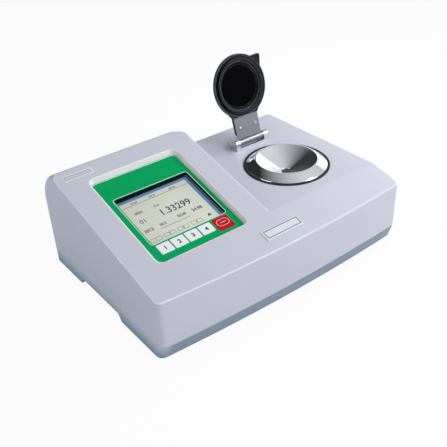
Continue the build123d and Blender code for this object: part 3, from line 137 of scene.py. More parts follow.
class Finish:
    """A material or a world under construction."""

    def __init__(self, name, kind="materials"):
        self.material = getattr(bpy.data, kind).new(name)
        self.material.use_nodes = True
        self.tree = self.material.node_tree
        self.shader = self.tree.nodes["Principled BSDF" if kind == "materials" else "Background"]

    def node(self, kind, settings=None, sockets=None, output=0):
        """Adds a node, sets it up and returns one of its outputs."""
        made = self.tree.nodes.new(kind)
        for name, value in (settings or {}).items():
            setattr(made, name, value)
        for name, value in (sockets or {}).items():
            self.feed(made.inputs[name], value)
        return Signal(self, made.outputs[output])

    def feed(self, socket, value):
        """Links a signal to a socket, or writes a plain value in it."""
        if isinstance(value, Signal):
            self.tree.links.new(value.socket, socket)
        else:
            socket.default_value = value

    def set(self, **values):
        """Sets the shader's own sockets, written with _ for a space."""
        for name, value in values.items():
            self.feed(self.shader.inputs[name.replace("_", " ")], value)
        return self

    def place(self):
        """Where a point of the piece lies, in metres."""
        return self.node("ShaderNodeTexCoord", output="Object")

    def compared(self, operation, first, second):
        """One number from two vectors."""
        return self.node("ShaderNodeVectorMath", {"operation": operation}, {
            0: first, 1: second,
        }, output="Value")

    def along(self, where, direction):
        """How far a place lies along a direction."""
        return self.compared("DOT_PRODUCT", where, tuple(direction))

    def away(self, where, spot):
        """The distance of a place from a spot."""
        return self.compared("DISTANCE", where, tuple(spot))

    def spread(self, value, low, high, start=0.0, end=1.0):
        """Start below low, end above high and even in between."""
        return self.node("ShaderNodeMapRange", {}, {
            "Value": value, "From Min": low, "From Max": high, "To Min": start, "To Max": end,
        })

    def noise(self, scale, detail=2.0, stretch=(1, 1, 1), roughness=0.5):
        """Cloudy pattern, about 0.5 in the middle; scale is in patches a metre."""
        where = self.node("ShaderNodeMapping", {}, {"Vector": self.place(), "Scale": stretch})
        return self.node("ShaderNodeTexNoise", {}, {
            "Vector": where, "Scale": scale, "Detail": detail, "Roughness": roughness,
        })

    def blend(self, share, first, second):
        """A colour between two colours."""
        return self.node("ShaderNodeMix", {"data_type": "RGBA"}, {
            mix_share: share, mix_first: first, mix_second: second,
        }, output=mix_result)

    def relief(self, height, depth, under=None):
        """A bump of a depth in metres."""
        sockets = {"Height": height, "Distance": depth}
        if under is not None:
            sockets["Normal"] = under
        return self.node("ShaderNodeBump", {}, sockets)

    def softened(self, radius):
        """The surface's direction as if its edges were rounded."""
        return self.node("ShaderNodeBevel", {"samples": edge_samples}, {"Radius": radius})

    def edges(self, radius, low, high):
        """1 at edges, where wear and painted highlights go, and 0 elsewhere."""
        direction = self.node("ShaderNodeNewGeometry", output="Normal")
        turn = self.compared("DOT_PRODUCT", self.softened(radius), direction)
        return self.spread(1 - turn, low, high)


def within(value, span):
    """1 between the two ends of a span in millimetres and 0 outside it."""
    low, high = span
    return (value > low * MM) * (value < high * MM)


def recess_wall(finish):
    """1 on the sloping walls round the green panel, where a paler colour is painted as a highlight, and 0
    elsewhere.
    """
    where = finish.place()
    depth = finish.along(where, press) - slope_foot.dot(press)
    up = finish.along(where, uphill) - slope_foot.dot(uphill)
    across = finish.along(where, (1, 0, 0))
    return within(depth, recess_depths) * within(up, recess_heights) * within(across, recess_sides)


def above_seam(finish):
    """1 on the painted housing and 0 close to the seam below it, which keeps the painted edge highlights off
    the seam.
    """
    low, high = seam_fade
    return finish.spread(finish.along(finish.place(), (0, 0, 1)), low * MM, high * MM)


def left_wall_painted_light(finish):
    """1 at the seam on the tray's left wall, 0 at its foot and on its other walls; where it is 1 the wall is
    painted paler as painted light, darker towards its foot as painted shade.
    """
    where = finish.place()
    side = finish.spread(finish.along(where, (1, 0, 0)), left_wall[0] * MM, left_wall[1] * MM, 1.0, 0.0)
    return side * finish.spread(finish.along(where, (0, 0, 1)), foot_fade[0] * MM, foot_fade[1] * MM)


def shades(colour, change):
    """A darker and a lighter shade of a colour."""
    dark = tuple(level * (1 - change) for level in colour[:3]) + (1,)
    light = tuple(min(level * (1 + change), 1) for level in colour[:3]) + (1,)
    return dark, light


# What every moulding has in common.
cloud_patches = 9        # slow changes in shade, in patches a metre
smudge_patches = 60      # changes in shine
smudge_depth = 0.10      # how much they change the roughness
speck_patches = 0.6      # darker specks, as a share of the grain's patches
speck_share = 0.08       # how much they tell
first_edge_turn = 0.08        # the turn at which the edge colour begins, as a share of that at which it is full
worn_roughness = 0.05    # what the edges add to the roughness
flat_coat = 0.05         # clear coat on flat faces, as a share of that on the edges
coat_roughness = 0.12


def moulding(name, colour, roughness, grain, depth, drift, wear_and_highlight, edge, coat=0.0, shine=0.5,
             wear_and_highlight_share=0.5, turn=0.25, wear_and_highlight_where=None, recess_highlight=None, painted_side_light=None, glow=0.0):
    """Plastic or paint with a fine grain, cloudy colour and edges in a colour of their own.

    grain is in patches a metre and depth is the grain's, in microns. drift is the change in shade. The edge
    colour is wear on most finishes and a painted highlight on the case paint, the lid and the seal; edge is
    the edges' width in millimetres, turn how far the surface turns before that colour is full and its share
    how much of it shows then.
    The recess walls' colour is painted on them as a highlight, and the side colour is painted on the tray's
    left wall, paler by the seam and darker towards its foot, as painted light and shade.
    """
    finish = Finish(name)
    dark, light = shades(colour, drift)
    body = finish.blend(finish.noise(cloud_patches, 3), dark, light)
    body = finish.blend(finish.noise(grain * speck_patches, 1) * speck_share, body, dark)
    wear_and_highlight_edges = finish.edges(edge * MM, turn * first_edge_turn, turn)
    if wear_and_highlight_where:
        wear_and_highlight_edges = wear_and_highlight_edges * wear_and_highlight_where(finish)
    # painted light and shade: the tray's left wall paler by the seam, darker towards its foot
    if painted_side_light:
        body = finish.blend(left_wall_painted_light(finish), body, painted_side_light)
    # The edges take their own colour: wear on most finishes, a painted highlight on the case paint, the lid
    # and the seal.
    body = finish.blend(wear_and_highlight_edges * wear_and_highlight_share, body, wear_and_highlight)
    # painted highlight: the walls round the green panel painted paler
    if recess_highlight:
        body = finish.blend(recess_wall(finish), body, recess_highlight)
    smudges = (finish.noise(smudge_patches, 3) - 0.5) * smudge_depth
    rough = roughness + smudges + wear_and_highlight_edges * worn_roughness
    bump = finish.relief(finish.noise(grain, 2), depth * MICRON, under=finish.softened(edge * MM))
    if coat:
        coat = coat * flat_coat + wear_and_highlight_edges * (coat * (1 - flat_coat))
    if glow:
        finish.set(Emission_Color=body, Emission_Strength=glow)
    finish.set(Base_Color=body, Roughness=rough, Normal=bump, Specular_IOR_Level=shine)
    return finish.set(Coat_Weight=coat, Coat_Roughness=coat_roughness).material


def thin_film(name, colour, drift, wear_and_highlight):
    """Ink or enamel in a thin film, also used for the lines of painted highlight and shade."""
    return moulding(name, colour, 0.4, 2600, 4, drift, wear_and_highlight, 0.1)


# What every metal and glass has in common, in patches a metre and in shares of the finish's own value.
tarnish_patches = 25
mark_share = 0.25        # how much the tool marks tell in the colour
mark_roughness = 0.4     # and in the roughness,
least_roughness = 0.8    # which is this much between them
smear_patches = 70
smear_share = 0.1
smear_roughness = 0.03


def metal(name, colour, roughness, stretch, grain, depth, edge, tarnish):
    """Machined or sheet metal with fine tool marks along one direction, measured as a moulding is."""
    finish = Finish(name)
    dark, light = shades(colour, tarnish)
    marks = finish.noise(grain, 4, stretch, 0.65)
    body = finish.blend(finish.noise(tarnish_patches, 3), dark, light)
    body = finish.blend(marks * mark_share, body, dark)
    rough = roughness * (least_roughness + marks * mark_roughness)
    bump = finish.relief(marks, depth * MICRON, under=finish.softened(edge * MM))
    return finish.set(Base_Color=body, Metallic=1.0, Roughness=rough, Normal=bump).material


def clear(name, colour, roughness, ior, weight=1.0):
    """Glass or clear sheet with faint smears."""
    finish = Finish(name)
    smear = finish.noise(smear_patches, 4)
    rough = roughness + smear * smear_roughness
    body = finish.blend(smear * smear_share, colour, (1, 1, 1, 1))
    return finish.set(Base_Color=body, Roughness=rough, Transmission_Weight=weight, IOR=ior).material


def dish_finish(name):
    """Polished steel, its bowl lapped to a softer shine in faint rings."""
    polished, lapped, cloudy, ringed = 0.05, 0.15, 0.06, 0.05        # what each adds to the roughness
    finish = Finish(name)
    flat = finish.node("ShaderNodeVectorMath", {"operation": "MULTIPLY"}, {0: finish.place(), 1: (1, 1, 0)})
    radius = finish.away(flat, (stage_centre.x, stage_centre.y, 0))
    bowl = radius < bowl_radius * MM
    rings = finish.node("ShaderNodeTexNoise", {"noise_dimensions": "1D"}, {
        "W": radius, "Scale": 2400.0, "Detail": 2.0,
    })
    cloud = finish.noise(40, 3)
    rough = polished + bowl * lapped + (cloud - 0.5) * cloudy + rings * bowl * ringed
    bump = finish.relief(rings * bowl, 1.2 * MICRON, under=finish.softened(0.3 * MM))
    body = finish.blend(cloud, (0.78, 0.78, 0.80, 1), (0.86, 0.86, 0.87, 1))
    return finish.set(Base_Color=body, Metallic=1.0, Roughness=rough, Normal=bump).material


def board_finish(name):
    """Green circuit board with paler tracks and tinned pads."""
    finish = Finish(name)
    tracks = finish.node("ShaderNodeTexBrick", {"offset": 0.5}, {
        "Vector": finish.place(), "Scale": 220.0, "Mortar Size": 0.03, "Color1": tone(18, 92, 52),
        "Color2": tone(24, 104, 60), "Mortar": tone(52, 138, 88),
    })
    pads = finish.node("ShaderNodeTexVoronoi", {}, {"Vector": finish.place(), "Scale": 260.0})
    pad = pads < 0.12
    body = finish.blend(pad, tracks, tone(200, 196, 180))
    bump = finish.relief(pad, 30 * MICRON)
    return finish.set(Base_Color=body, Metallic=pad, Roughness=0.35, Normal=bump).material


backlight = 0.45         # how strongly the display glows
# The case paint's white edges are painted highlights, and its recess walls are painted paler as a highlight.
case_paint = moulding("case_paint", tone(203, 204, 216), 0.38, 2600, 12, 0.015, tone(255, 255, 255), 3.4,
                      coat=1.0, shine=0.4, wear_and_highlight_share=1.0, turn=0.06, wear_and_highlight_where=above_seam,
                      recess_highlight=tone(250, 242, 244))
# The tray's left wall is painted paler by the seam and darker towards its foot, as painted light and shade.
slate_plastic = moulding("slate_plastic", tone(138, 153, 170), 0.5, 2200, 20, 0.03, tone(170, 182, 196), 0.8,
                         painted_side_light=tone(186, 198, 212))
foot_rubber = moulding("foot_rubber", tone(38, 38, 40), 0.75, 1800, 50, 0.15, tone(70, 70, 72), 0.8)
# The pale blue-grey edges of the seal and the lid are painted highlights on their rims.
seal_rubber = moulding("seal_rubber", tone(12, 13, 15), 0.5, 2400, 20, 0.15, tone(92, 102, 118), 1.2,
                       shine=0.2, wear_and_highlight_share=0.6, turn=0.1)
lid_black = moulding("lid_black", tone(14, 15, 17), 0.33, 2600, 15, 0.12, tone(150, 158, 172), 1.4,
                     shine=0.2, wear_and_highlight_share=0.6, turn=0.1)
liner_black = moulding("liner_black", tone(4, 3, 4), 0.3, 1500, 10, 0.2, tone(16, 13, 14), 0.4, shine=0.02)
frame_black = moulding("frame_black", tone(8, 8, 10), 0.5, 2600, 10, 0.1, tone(24, 24, 28), 0.3, shine=0.1)
green_film = moulding("green_film", tone(2, 164, 94), 0.5, 3200, 10, 0.05, tone(70, 190, 140), 0.3,
                      shine=0.06)
white_key = moulding("white_key", tone(242, 244, 247), 0.35, 3000, 10, 0.02, tone(252, 253, 254), 0.4,
                     coat=0.2)
red_key = moulding("red_key", tone(192, 16, 28), 0.4, 3000, 10, 0.05, tone(226, 70, 78), 0.4, shine=0.1)
panel_grey = moulding("panel_grey", tone(150, 154, 160), 0.5, 1800, 30, 0.04, tone(190, 194, 200), 0.3)
fan_black = moulding("fan_black", tone(30, 30, 32), 0.45, 2200, 10, 0.1, tone(60, 60, 62), 0.3)
ceramic_white = moulding("ceramic_white", tone(232, 230, 224), 0.5, 1600, 10, 0.03, tone(246, 245, 240), 0.3)
part_black = moulding("part_black", tone(34, 34, 36), 0.4, 1800, 10, 0.2, tone(80, 80, 84), 0.3)
lcd_blue = moulding("lcd_blue", tone(90, 131, 173), 0.4, 2600, 4, 0.08, tone(112, 150, 190), 0.2,
                    glow=backlight)
lcd_field = moulding("lcd_field", tone(199, 200, 185), 0.35, 3200, 4, 0.03, tone(214, 214, 200), 0.1,
                     glow=backlight)
lcd_faint = thin_film("lcd_faint", tone(108, 120, 156), 0.08, tone(118, 130, 164))
mark_white = thin_film("mark_white", tone(232, 196, 198), 0.03, tone(240, 220, 222))
lcd_ink = thin_film("lcd_ink", tone(44, 58, 112), 0.08, tone(70, 80, 118))
line_white = thin_film("line_white", tone(236, 250, 244), 0.03, tone(232, 244, 238))
# Dark grey for the nameplate's border, in part painted shade, and for the label's painted shade line.
border_and_shade_grey = thin_film("border_and_shade_grey", tone(76, 80, 94), 0.05, tone(96, 100, 114))
numeral_ink = thin_film("numeral_ink", tone(36, 44, 50), 0.08, tone(60, 68, 74))
plate_silver = moulding("plate_silver", tone(222, 224, 230), 0.32, 2600, 4, 0.02, tone(120, 122, 130), 0.6)
circuit_board = board_finish("circuit_board")
stage_steel = dish_finish("stage_steel")

plain_marks = (1, 1, 1)
cross_marks = (0.04, 1, 1)      # drawn out from side to side
deep_marks = (1, 0.05, 1)       # drawn out from front to back
hinge_steel = metal("hinge_steel", (0.62, 0.63, 0.66), 0.30, cross_marks, 2200, 3, 0.3, 0.05)
arm_steel = metal("arm_steel", (0.22, 0.225, 0.245), 0.42, cross_marks, 2200, 3, 0.3, 0.05)
dull_steel = metal("dull_steel", (0.46, 0.47, 0.50), 0.45, plain_marks, 1400, 3, 0.2, 0.06)
screw_steel = metal("screw_steel", (0.70, 0.70, 0.70), 0.22, plain_marks, 1400, 3, 0.2, 0.06)
sheet_steel = metal("sheet_steel", (0.62, 0.63, 0.64), 0.34, deep_marks, 1200, 4, 0.4, 0.08)
cast_aluminium = metal("cast_aluminium", (0.66, 0.67, 0.68), 0.38, plain_marks, 700, 10, 0.4, 0.06)
black_aluminium = metal("black_aluminium", (0.035, 0.035, 0.038), 0.4, plain_marks, 900, 6, 0.4, 0.1)
pin_brass = metal("pin_brass", (0.80, 0.62, 0.30), 0.25, deep_marks, 1200, 3, 0.2, 0.06)
clear_sheet = clear("clear_sheet", (0.96, 0.97, 0.97, 1), 0.02, 1.15)
lens_glass = clear("lens_glass", (0.93, 0.97, 0.96, 1), 0.01, 1.52)
prism_glass = clear("prism_glass", (0.015, 0.017, 0.02, 1), 0.02, 1.3, 0.3)
filter_glass = clear("filter_glass", (0.85, 0.50, 0.08, 1), 0.02, 1.5)

node_finishes = {
    "upper_housing": case_paint, "base_tray": slate_plastic,
    "foot_front_left": foot_rubber, "foot_front_right": foot_rubber,
    "foot_rear_left": foot_rubber, "foot_rear_right": foot_rubber,
    "case_screws": screw_steel, "rear_panel": panel_grey, "rear_screws": screw_steel,
    "nameplate": plate_silver, "overlay_panel": green_film, "display_window": clear_sheet,
    "lcd_frame": frame_black, "lcd_module": lcd_blue, "display_bracket": sheet_steel,
    "key_board": circuit_board, "dome_switches": sheet_steel, "inner_screws": screw_steel,
    "key_1": white_key, "key_2": white_key, "key_3": white_key, "key_4": white_key,
    "start_key": red_key, "stage_ring": stage_steel, "stage_seal": seal_rubber,
    "stage_retainer": sheet_steel, "prism": prism_glass, "prism_seal": seal_rubber,
    "prism_holder": cast_aluminium, "temperature_sensor": screw_steel,
    "peltier_module": ceramic_white, "heat_sink": cast_aluminium, "sink_screws": screw_steel,
    "optics_frame": black_aluminium, "lamp_tube": black_aluminium, "collimator_lens": lens_glass,
    "interference_filter": filter_glass, "lamp_board": circuit_board,
    "camera_tube": black_aluminium, "imaging_lens": lens_glass, "sensor_board": circuit_board,
    "main_board": circuit_board, "board_components": part_black, "power_supply": sheet_steel,
    "power_inlet": frame_black, "inlet_pins": pin_brass, "power_switch_housing": frame_black,
    "power_rocker": part_black, "serial_port": sheet_steel, "fan_frame": fan_black,
    "fan_rotor": fan_black, "lid_shell": lid_black, "lid_seal": seal_rubber,
    "lid_liner": liner_black, "hinge_arm": arm_steel, "hinge_arm_screws": dull_steel,
    "hinge_base": hinge_steel, "hinge_base_screws": dull_steel, "hinge_pin": screw_steel,
}
for name, material in node_finishes.items():
    mesh = nodes[name].data
    mesh.materials.clear()
    mesh.materials.append(material)


# ---- modelling by hand ----
def deselect():
    if bpy.context.object and bpy.context.object.mode != "OBJECT":
        bpy.ops.object.mode_set(mode="OBJECT")
    bpy.ops.object.select_all(action="DESELECT")


def choose(shape):
    """Makes a shape the only one picked."""
    deselect()
    shape.select_set(True)
    bpy.context.view_layer.objects.active = shape


def pick_faces(shape, wanted):
    """In edit mode, selects the faces that wanted says."""
    bpy.ops.object.mode_set(mode="EDIT")
    bpy.ops.mesh.select_mode(type="FACE")
    bpy.ops.mesh.select_all(action="DESELECT")
    bpy.ops.object.mode_set(mode="OBJECT")
    for face in shape.data.polygons:
        face.select = wanted(face)
    bpy.ops.object.mode_set(mode="EDIT")


def every(kind="VERT"):
    """In edit mode, selects everything."""
    bpy.ops.object.mode_set(mode="EDIT")
    bpy.ops.mesh.select_mode(type=kind)
    bpy.ops.mesh.select_all(action="SELECT")


def pull(height):
    """Extrudes every face upwards, in millimetres."""
    every("FACE")
    bpy.ops.mesh.extrude_region_move(TRANSFORM_OT_translate={"value": (0, 0, height * MM)})


def apply(shape, kind, **settings):
    """Adds a modifier, sets it up and applies it."""
    bpy.ops.object.mode_set(mode="OBJECT")
    modifier = shape.modifiers.new(kind.lower(), kind)
    for name, value in settings.items():
        setattr(modifier, name, value)
    bpy.ops.object.modifier_apply(modifier=modifier.name)


def merged(shapes):
    """Joins shapes into the first of them."""
    deselect()
    for shape in shapes:
        shape.select_set(True)
    bpy.context.view_layer.objects.active = shapes[0]
    if len(shapes) > 1:
        bpy.ops.object.join()
    return bpy.context.object


def placed(shape, seat):
    """Moves a shape from the origin to its seat, in its mesh."""
    choose(shape)
    shape.matrix_world = seat @ shape.matrix_world
    bpy.ops.object.transform_apply(location=True, rotation=True, scale=True)
    return shape


def piece(shape, name, material, body, *stands_for, angle=30):
    """Names a finished shape, gives it its finish and says what it rides on."""
    every()
    bpy.ops.mesh.remove_doubles(threshold=weld)
    bpy.ops.mesh.normals_make_consistent(inside=False)
    bpy.ops.object.mode_set(mode="OBJECT")
    bpy.ops.object.shade_smooth_by_angle(angle=radians(angle))
    shape.name = name
    shape.data.materials.clear()
    shape.data.materials.append(material)
    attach(shape, body)
    if stands_for:
        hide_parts(*stands_for)
    return shape


def outline(middle, size, corner):
    """Flat rounded rectangle, in millimetres."""
    deselect()
    bpy.ops.mesh.primitive_plane_add(size=1, location=(middle[0] * MM, middle[1] * MM, 0))
    shape = bpy.context.object
    shape.scale = (size[0] * MM, size[1] * MM, 1)
    bpy.ops.object.transform_apply(location=True, scale=True)
    if corner:
        every()
        bpy.ops.mesh.bevel(offset=corner * MM, segments=8, affect="VERTICES")
    return shape


def plate(middle, size, corner, height, edge):
    """Rounded plate that stands on the frame's floor, its upper rim eased by edge."""
    shape = outline(middle, size, corner)
    pull(height)
    pick_faces(shape, lambda face: face.normal.z > 0.5 and face.center.z > height * MM / 2)
    bpy.ops.mesh.bevel(offset=edge * MM, segments=2, affect="EDGES")
    return shape


def ring_line(middle, size, corner, width):
    """Thin line round a rounded rectangle, measured at its outer edge: print, and on the nameplate and label
    painted highlight and shade.
    """
    shape = outline(middle, size, corner)
    every("FACE")
    bpy.ops.mesh.inset(thickness=width * MM, depth=0)
    bpy.ops.mesh.delete(type="FACE")
    pull(mark_thickness)
    return shape


def bar(middle, size, corner=0.0):
    """Printed bar."""
    shape = outline(middle, size, corner)
    pull(mark_thickness)
    bpy.ops.object.mode_set(mode="OBJECT")
    return shape


def triangle(middle, radius):
    """Printed triangle, one corner upwards."""
    deselect()
    bpy.ops.mesh.primitive_circle_add(vertices=3, radius=radius * MM, fill_type="NGON",
                                      location=(middle[0] * MM, middle[1] * MM, 0))
    pull(mark_thickness)
    bpy.ops.object.mode_set(mode="OBJECT")
    return bpy.context.object


def figures(text, place, size, weight, align="LEFT", narrow=1.0):
    """Printed figures, their baseline at a place; weight makes them bolder and narrow squeezes them."""
    deselect()
    bpy.ops.object.text_add(location=(place[0] * MM, place[1] * MM, 0))
    shape = bpy.context.object
    shape.data.body = text
    shape.data.size = size * MM
    shape.data.align_x = align
    shape.data.offset = weight * MM
    shape.data.extrude = mark_thickness * MM / 2
    shape.data.resolution_u = 3
    shape.scale = (narrow, 1, 1)
    bpy.ops.object.convert(target="MESH")
    bpy.ops.object.transform_apply(location=True, scale=True)
    return bpy.context.object


def revolved(profile, steps, edge):
    """A closed outline of radius and height, in millimetres, spun about the frame's Z."""
    deselect()
    bpy.ops.mesh.primitive_plane_add(size=0.01)
    shape = bpy.context.object
    every()
    bpy.ops.mesh.merge(type="CENTER")
    radius, height = profile[0]
    bpy.ops.transform.translate(value=(radius * MM, 0, height * MM))
    for target in list(profile[1:]) + [profile[0]]:
        step = ((target[0] - radius) * MM, 0, (target[1] - height) * MM)
        bpy.ops.mesh.extrude_region_move(TRANSFORM_OT_translate={"value": step})
        radius, height = target
    every()
    bpy.ops.mesh.remove_doubles(threshold=weld)
    every()
    bpy.ops.mesh.spin(steps=steps, angle=2 * pi, center=(0, 0, 0), axis=(0, 0, 1))
    every()
    bpy.ops.mesh.remove_doubles(threshold=seam_weld)
    bpy.ops.mesh.normals_make_consistent(inside=False)
    apply(shape, "BEVEL", width=edge * MM, segments=3, limit_method="ANGLE", angle_limit=radians(20))
    return shape


def crosshead(radius, height, shank, depth):
    """Pan-head screw with a cross recess; its seat is the frame's floor."""
    slot_length, slot_width, slot_depth = radius * 1.1, radius * 0.26, height * 1.1
    head = revolved([
        (0, height), (radius * 0.55, height * 0.97), (radius * 0.88, height * 0.72),
        (radius, height * 0.25), (radius, 0), (shank, 0), (shank, -depth), (0, -depth),
    ], 32, radius * 0.05)
    for turn in (0, pi / 2):
        bpy.ops.mesh.primitive_cube_add(size=1, location=(0, 0, height * MM))
        blade = bpy.context.object
        blade.scale = (slot_length * MM, slot_width * MM, slot_depth * MM)
        blade.rotation_euler.z = turn
        bpy.ops.object.transform_apply(location=True, rotation=True, scale=True)
        choose(head)
        apply(head, "BOOLEAN", operation="DIFFERENCE", solver="EXACT", object=blade)
        bpy.data.objects.remove(blade)
    return head


def copied(shape, seat):
    """A copy with its own mesh, at its place."""
    twin = shape.copy()
    twin.data = shape.data.copy()
    bpy.context.scene.collection.objects.link(twin)
    return placed(twin, seat)


# ---- display, keys, printed lines and lines of painted highlight and shade, in millimetres up the slope and above its face ----
mark_thickness = 0.06               # how thick every printed mark and every line of painted highlight and shade is
lcd_rise = -12.5         # the display's face
shade_edge_height = 0.08       # its black edge, in part painted shade of the window's walls, its blue ground and its pale field, one over the other
ground_height = 0.16
field_height = 0.25
film_rise = -6.5         # the green panel's face
key_rise = -6.0          # the keys' faces
plate_rise = 1.2         # the nameplate's sunk face
label_rise = 0.5
panel_middle = (-89.4, 120.4)
window_middle = (-87.7, 118.6)
start_middle = (-49.25, 65.4)
plate_middle = (0.0, 17.0)
label_middle = (-155.75, 213.3)
key_count = 4
first_key, key_pitch, key_baseline = -128.9, 18.95, 63.6
first_caption, caption_pitch, caption_line = -127.6, 18.9, 86.3


def at_rise(rise):
    """The slope's frame, lifted off the slope."""
    return slope_frame @ Matrix.Translation((0, 0, rise * MM))


def make_display_layers():
    """The display's black edge, in part painted shade of the window's walls, its blue ground and its pale
    field.
    """
    layers = [      # name, finish, middle, size, corner, thickness and how far the rim is eased
        # the black edge shows most at the top and right: the window's dark inner walls and painted shade from
        # them
        ("display_shade_edge", frame_black, window_middle, (104.3, 82.9), 2.95, shade_edge_height, 0.02),
        ("display_ground", lcd_blue, (-88.2, 117.6), (102.0, 80.2), 1.5, ground_height, 0.02),
        ("display_field", lcd_field, (-89.5, 115.6), (96.0, 75.6), 0.8, field_height, 0.08),
    ]
    for name, material, middle, size, corner, height, rim in layers:
        layer = plate(middle, size, corner, height, rim)
        piece(placed(layer, at_rise(lcd_rise)), name, material, "case")


def make_display_figures():
    """The large reading with its warning mark, and the small readings, rules and key captions."""
    reading = figures("1.33299", (-100.8, 114.6), 14.4, 0.16, narrow=0.94)
    warning = triangle((-51.3, 88.0), 3.2)
    top = at_rise(lcd_rise + field_height + mark_thickness / 2)
    piece(placed(merged([reading, warning]), top), "display_reading", lcd_ink, "case")
    small_readings = [      # figures, place, size and weight
        ("20.00", (-122.5, 147.8), 4.2, 0.1), ("589.3", (-97.5, 147.8), 4.2, 0.1),
        ("08:45", (-68.0, 147.8), 4.2, 0.1), ("0024", (-127.0, 130.6), 5.2, 0.2),
        ("25.0", (-101.5, 131.0), 4.6, 0.12), ("01", (-129.0, 115.2), 9.0, 0.15),
        ("20.00", (-86.0, 102.6), 5.6, 0.2), ("24.98", (-65.5, 101.8), 6.6, 0.25),
        ("1012", (-133.0, 100.2), 6.2, 0.3), ("30.5", (-111.5, 101.4), 5.2, 0.2),
    ]
    small = [figures(*reading) for reading in small_readings]
    small += [bar((-89.0, 146.0), (93.0, 0.6)), bar((-93.0, 97.6), (42.0, 0.6))]
    for index in range(key_count):
        across = first_caption + caption_pitch * index
        small.append(ring_line((across, caption_line), (15.5, 5.6), 0.8, 0.5))
        small.append(figures(str(index + 1), (across, caption_line - 1.5), 4.6, 0.15, align="CENTER"))
    piece(placed(merged(small), top), "display_figures", lcd_faint, "case")


def make_panel_lines():
    """White lines round the display window and the green panel."""
    window = ring_line(window_middle, (106.3, 84.9), 3.9, 0.65)
    edge = ring_line(panel_middle, (122.0, 149.6), 7.4, 0.9)
    piece(placed(merged([window, edge]), at_rise(film_rise)), "panel_lines", line_white, "case")


def make_key_marks():
    """A numeral on each white key, and a ring and a bar on the start key."""
    for index in range(key_count):
        number = str(index + 1)
        mark = figures(number, (first_key + key_pitch * index, key_baseline), 8.0, 0.3, align="CENTER")
        seat = at_rise(key_rise + mark_thickness / 2)
        piece(placed(mark, seat), "key_%s_number" % number, numeral_ink, "key_" + number)
    ring = ring_line(start_middle, (17.2, 10.6), 5.2, 0.75)
    stroke = bar(start_middle, (8.4, 1.0), 0.4)
    piece(placed(merged([ring, stroke]), at_rise(key_rise)), "start_mark", mark_white, "start_key")


def make_plate_lines():
    """Dark line round the nameplate's bare field, in part painted shade of its pocket, and on the small label
    a painted highlight round its edge with a painted shade line inside it.
    """
    # The nameplate's dark border is in part painted shade of its pocket.
    border_and_shade = ring_line(plate_middle, (50.5, 11.0), 0.6, 0.9)
    piece(placed(border_and_shade, at_rise(plate_rise)), "nameplate_border_and_shade", border_and_shade_grey, "case")
    # The label's white frame is a painted highlight and the dark line inside it painted shade.
    edge = ring_line(label_middle, (37.0, 8.0), 0.8, 0.8)
    piece(placed(edge, at_rise(label_rise)), "label_highlight", line_white, "case")
    shade_line = ring_line(label_middle, (34.6, 5.6), 0.4, 0.4)
    piece(placed(shade_line, at_rise(label_rise)), "label_shade_line", border_and_shade_grey, "case")


# ---- sample stage ----
def make_stage():
    """Polished dish, its bowl very slightly hollow; radius and height above the deck, in millimetres."""
    rim, foot = (39.9, 9.0), (6.3, -10.0)
    sag = 0.7
    steps = 10
    bowl = []
    for index in range(steps + 1):
        share = index / steps
        hollow = 4 * sag * share * (1 - share)
        bowl.append((rim[0] + (foot[0] - rim[0]) * share, rim[1] + (foot[1] - rim[1]) * share - hollow))
    cone = [(53.3, -3.0), (53.3, 1.5), (41.4, 9.0)]
    underside = [(6.3, -12.0), (17.0, -14.9), (38.0, 2.0), (44.0, -3.0)]
    dish = revolved(cone + bowl + underside, 160, 0.25)
    piece(placed(dish, stage_frame), "stage_dish", stage_steel, "case", "stage_ring", angle=24)


# ---- screws that show ----
def upright(x, y, z):
    """A seat in millimetres for a screw that points down."""
    return Matrix.Translation((x * MM, y * MM, z * MM))


def turned_over(x, y, z):
    """A seat for a screw that points up."""
    return upright(x, y, z) @ Matrix.Rotation(pi, 4, "X")


def make_screws():
    """Cross-headed screws in place of the plain ones that show."""
    small = crosshead(radius=2.6, height=1.6, shank=1.45, depth=4.0)
    large = crosshead(radius=3.8, height=3.3, shank=1.95, depth=12.0)
    deck_frame = Matrix.Translation((stage_centre.x, 0, deck_height))
    # Screws on the back panel: at its corners, round the fan and beside the mains inlet.
    panel = [(x, y, 0) for x in (-149, 25) for y in (-24, 24)]
    fan = [(x - 121, y, 0) for x in (-16, 16) for y in (-16, 16)]
    inlet = [(x, 0, 0.4) for x in (-20, 20)]
    sets = [        # name, finish, screw, what it rides on, the node it stands for and where the heads sit
        ("lid_screw_heads", dull_steel, small, "lid", "hinge_arm_screws",
         [lid_frame @ turned_over(x, -19, 0.6) for x in (-13, 13)]),
        ("base_screw_heads", dull_steel, small, "case", "hinge_base_screws",
         [deck_frame @ upright(x, 80, 1.9) for x in (-12, 12)]),
        ("rear_screw_heads", screw_steel, small, "case", "rear_screws",
         [rear_frame @ upright(*spot) for spot in panel + fan + inlet]),
        ("case_screw_heads", screw_steel, large, "case", "case_screws",
         [turned_over(x, y, tray_floor + 3.4) for x in (-135, 135) for y in (-93.6, 98)]),
    ]
    for name, material, pattern, body, node, seats in sets:
        heads = [copied(pattern, seat) for seat in seats]
        piece(merged(heads), name, material, body, node)
    bpy.data.objects.remove(small)
    bpy.data.objects.remove(large)


make_display_layers()
make_display_figures()
make_panel_lines()
make_key_marks()
make_plate_lines()
make_stage()
make_screws()


# ---- studio ----
camera_place = Vector((-450.9, -606.5, 539.3)) * MM
camera_turn, camera_drop, camera_roll = -36.31, 33.41, -2.77       # in degrees
floor_drop = 0.3 * MM           # keeps the floor clear of the feet's soles
floor_glow = 0.93               # the share of plain white the camera sees on the floor
room_light = 0.47               # the even light all round
watched_light = 0.51            # what is added to it for the camera
lit_middle = (0, 0, 0.08)       # where the lamps aim, in metres
lit_end = (0.17, -0.02, 0.08)
white = (1, 1, 1)
pale_blue = (0.80, 0.92, 1.0)


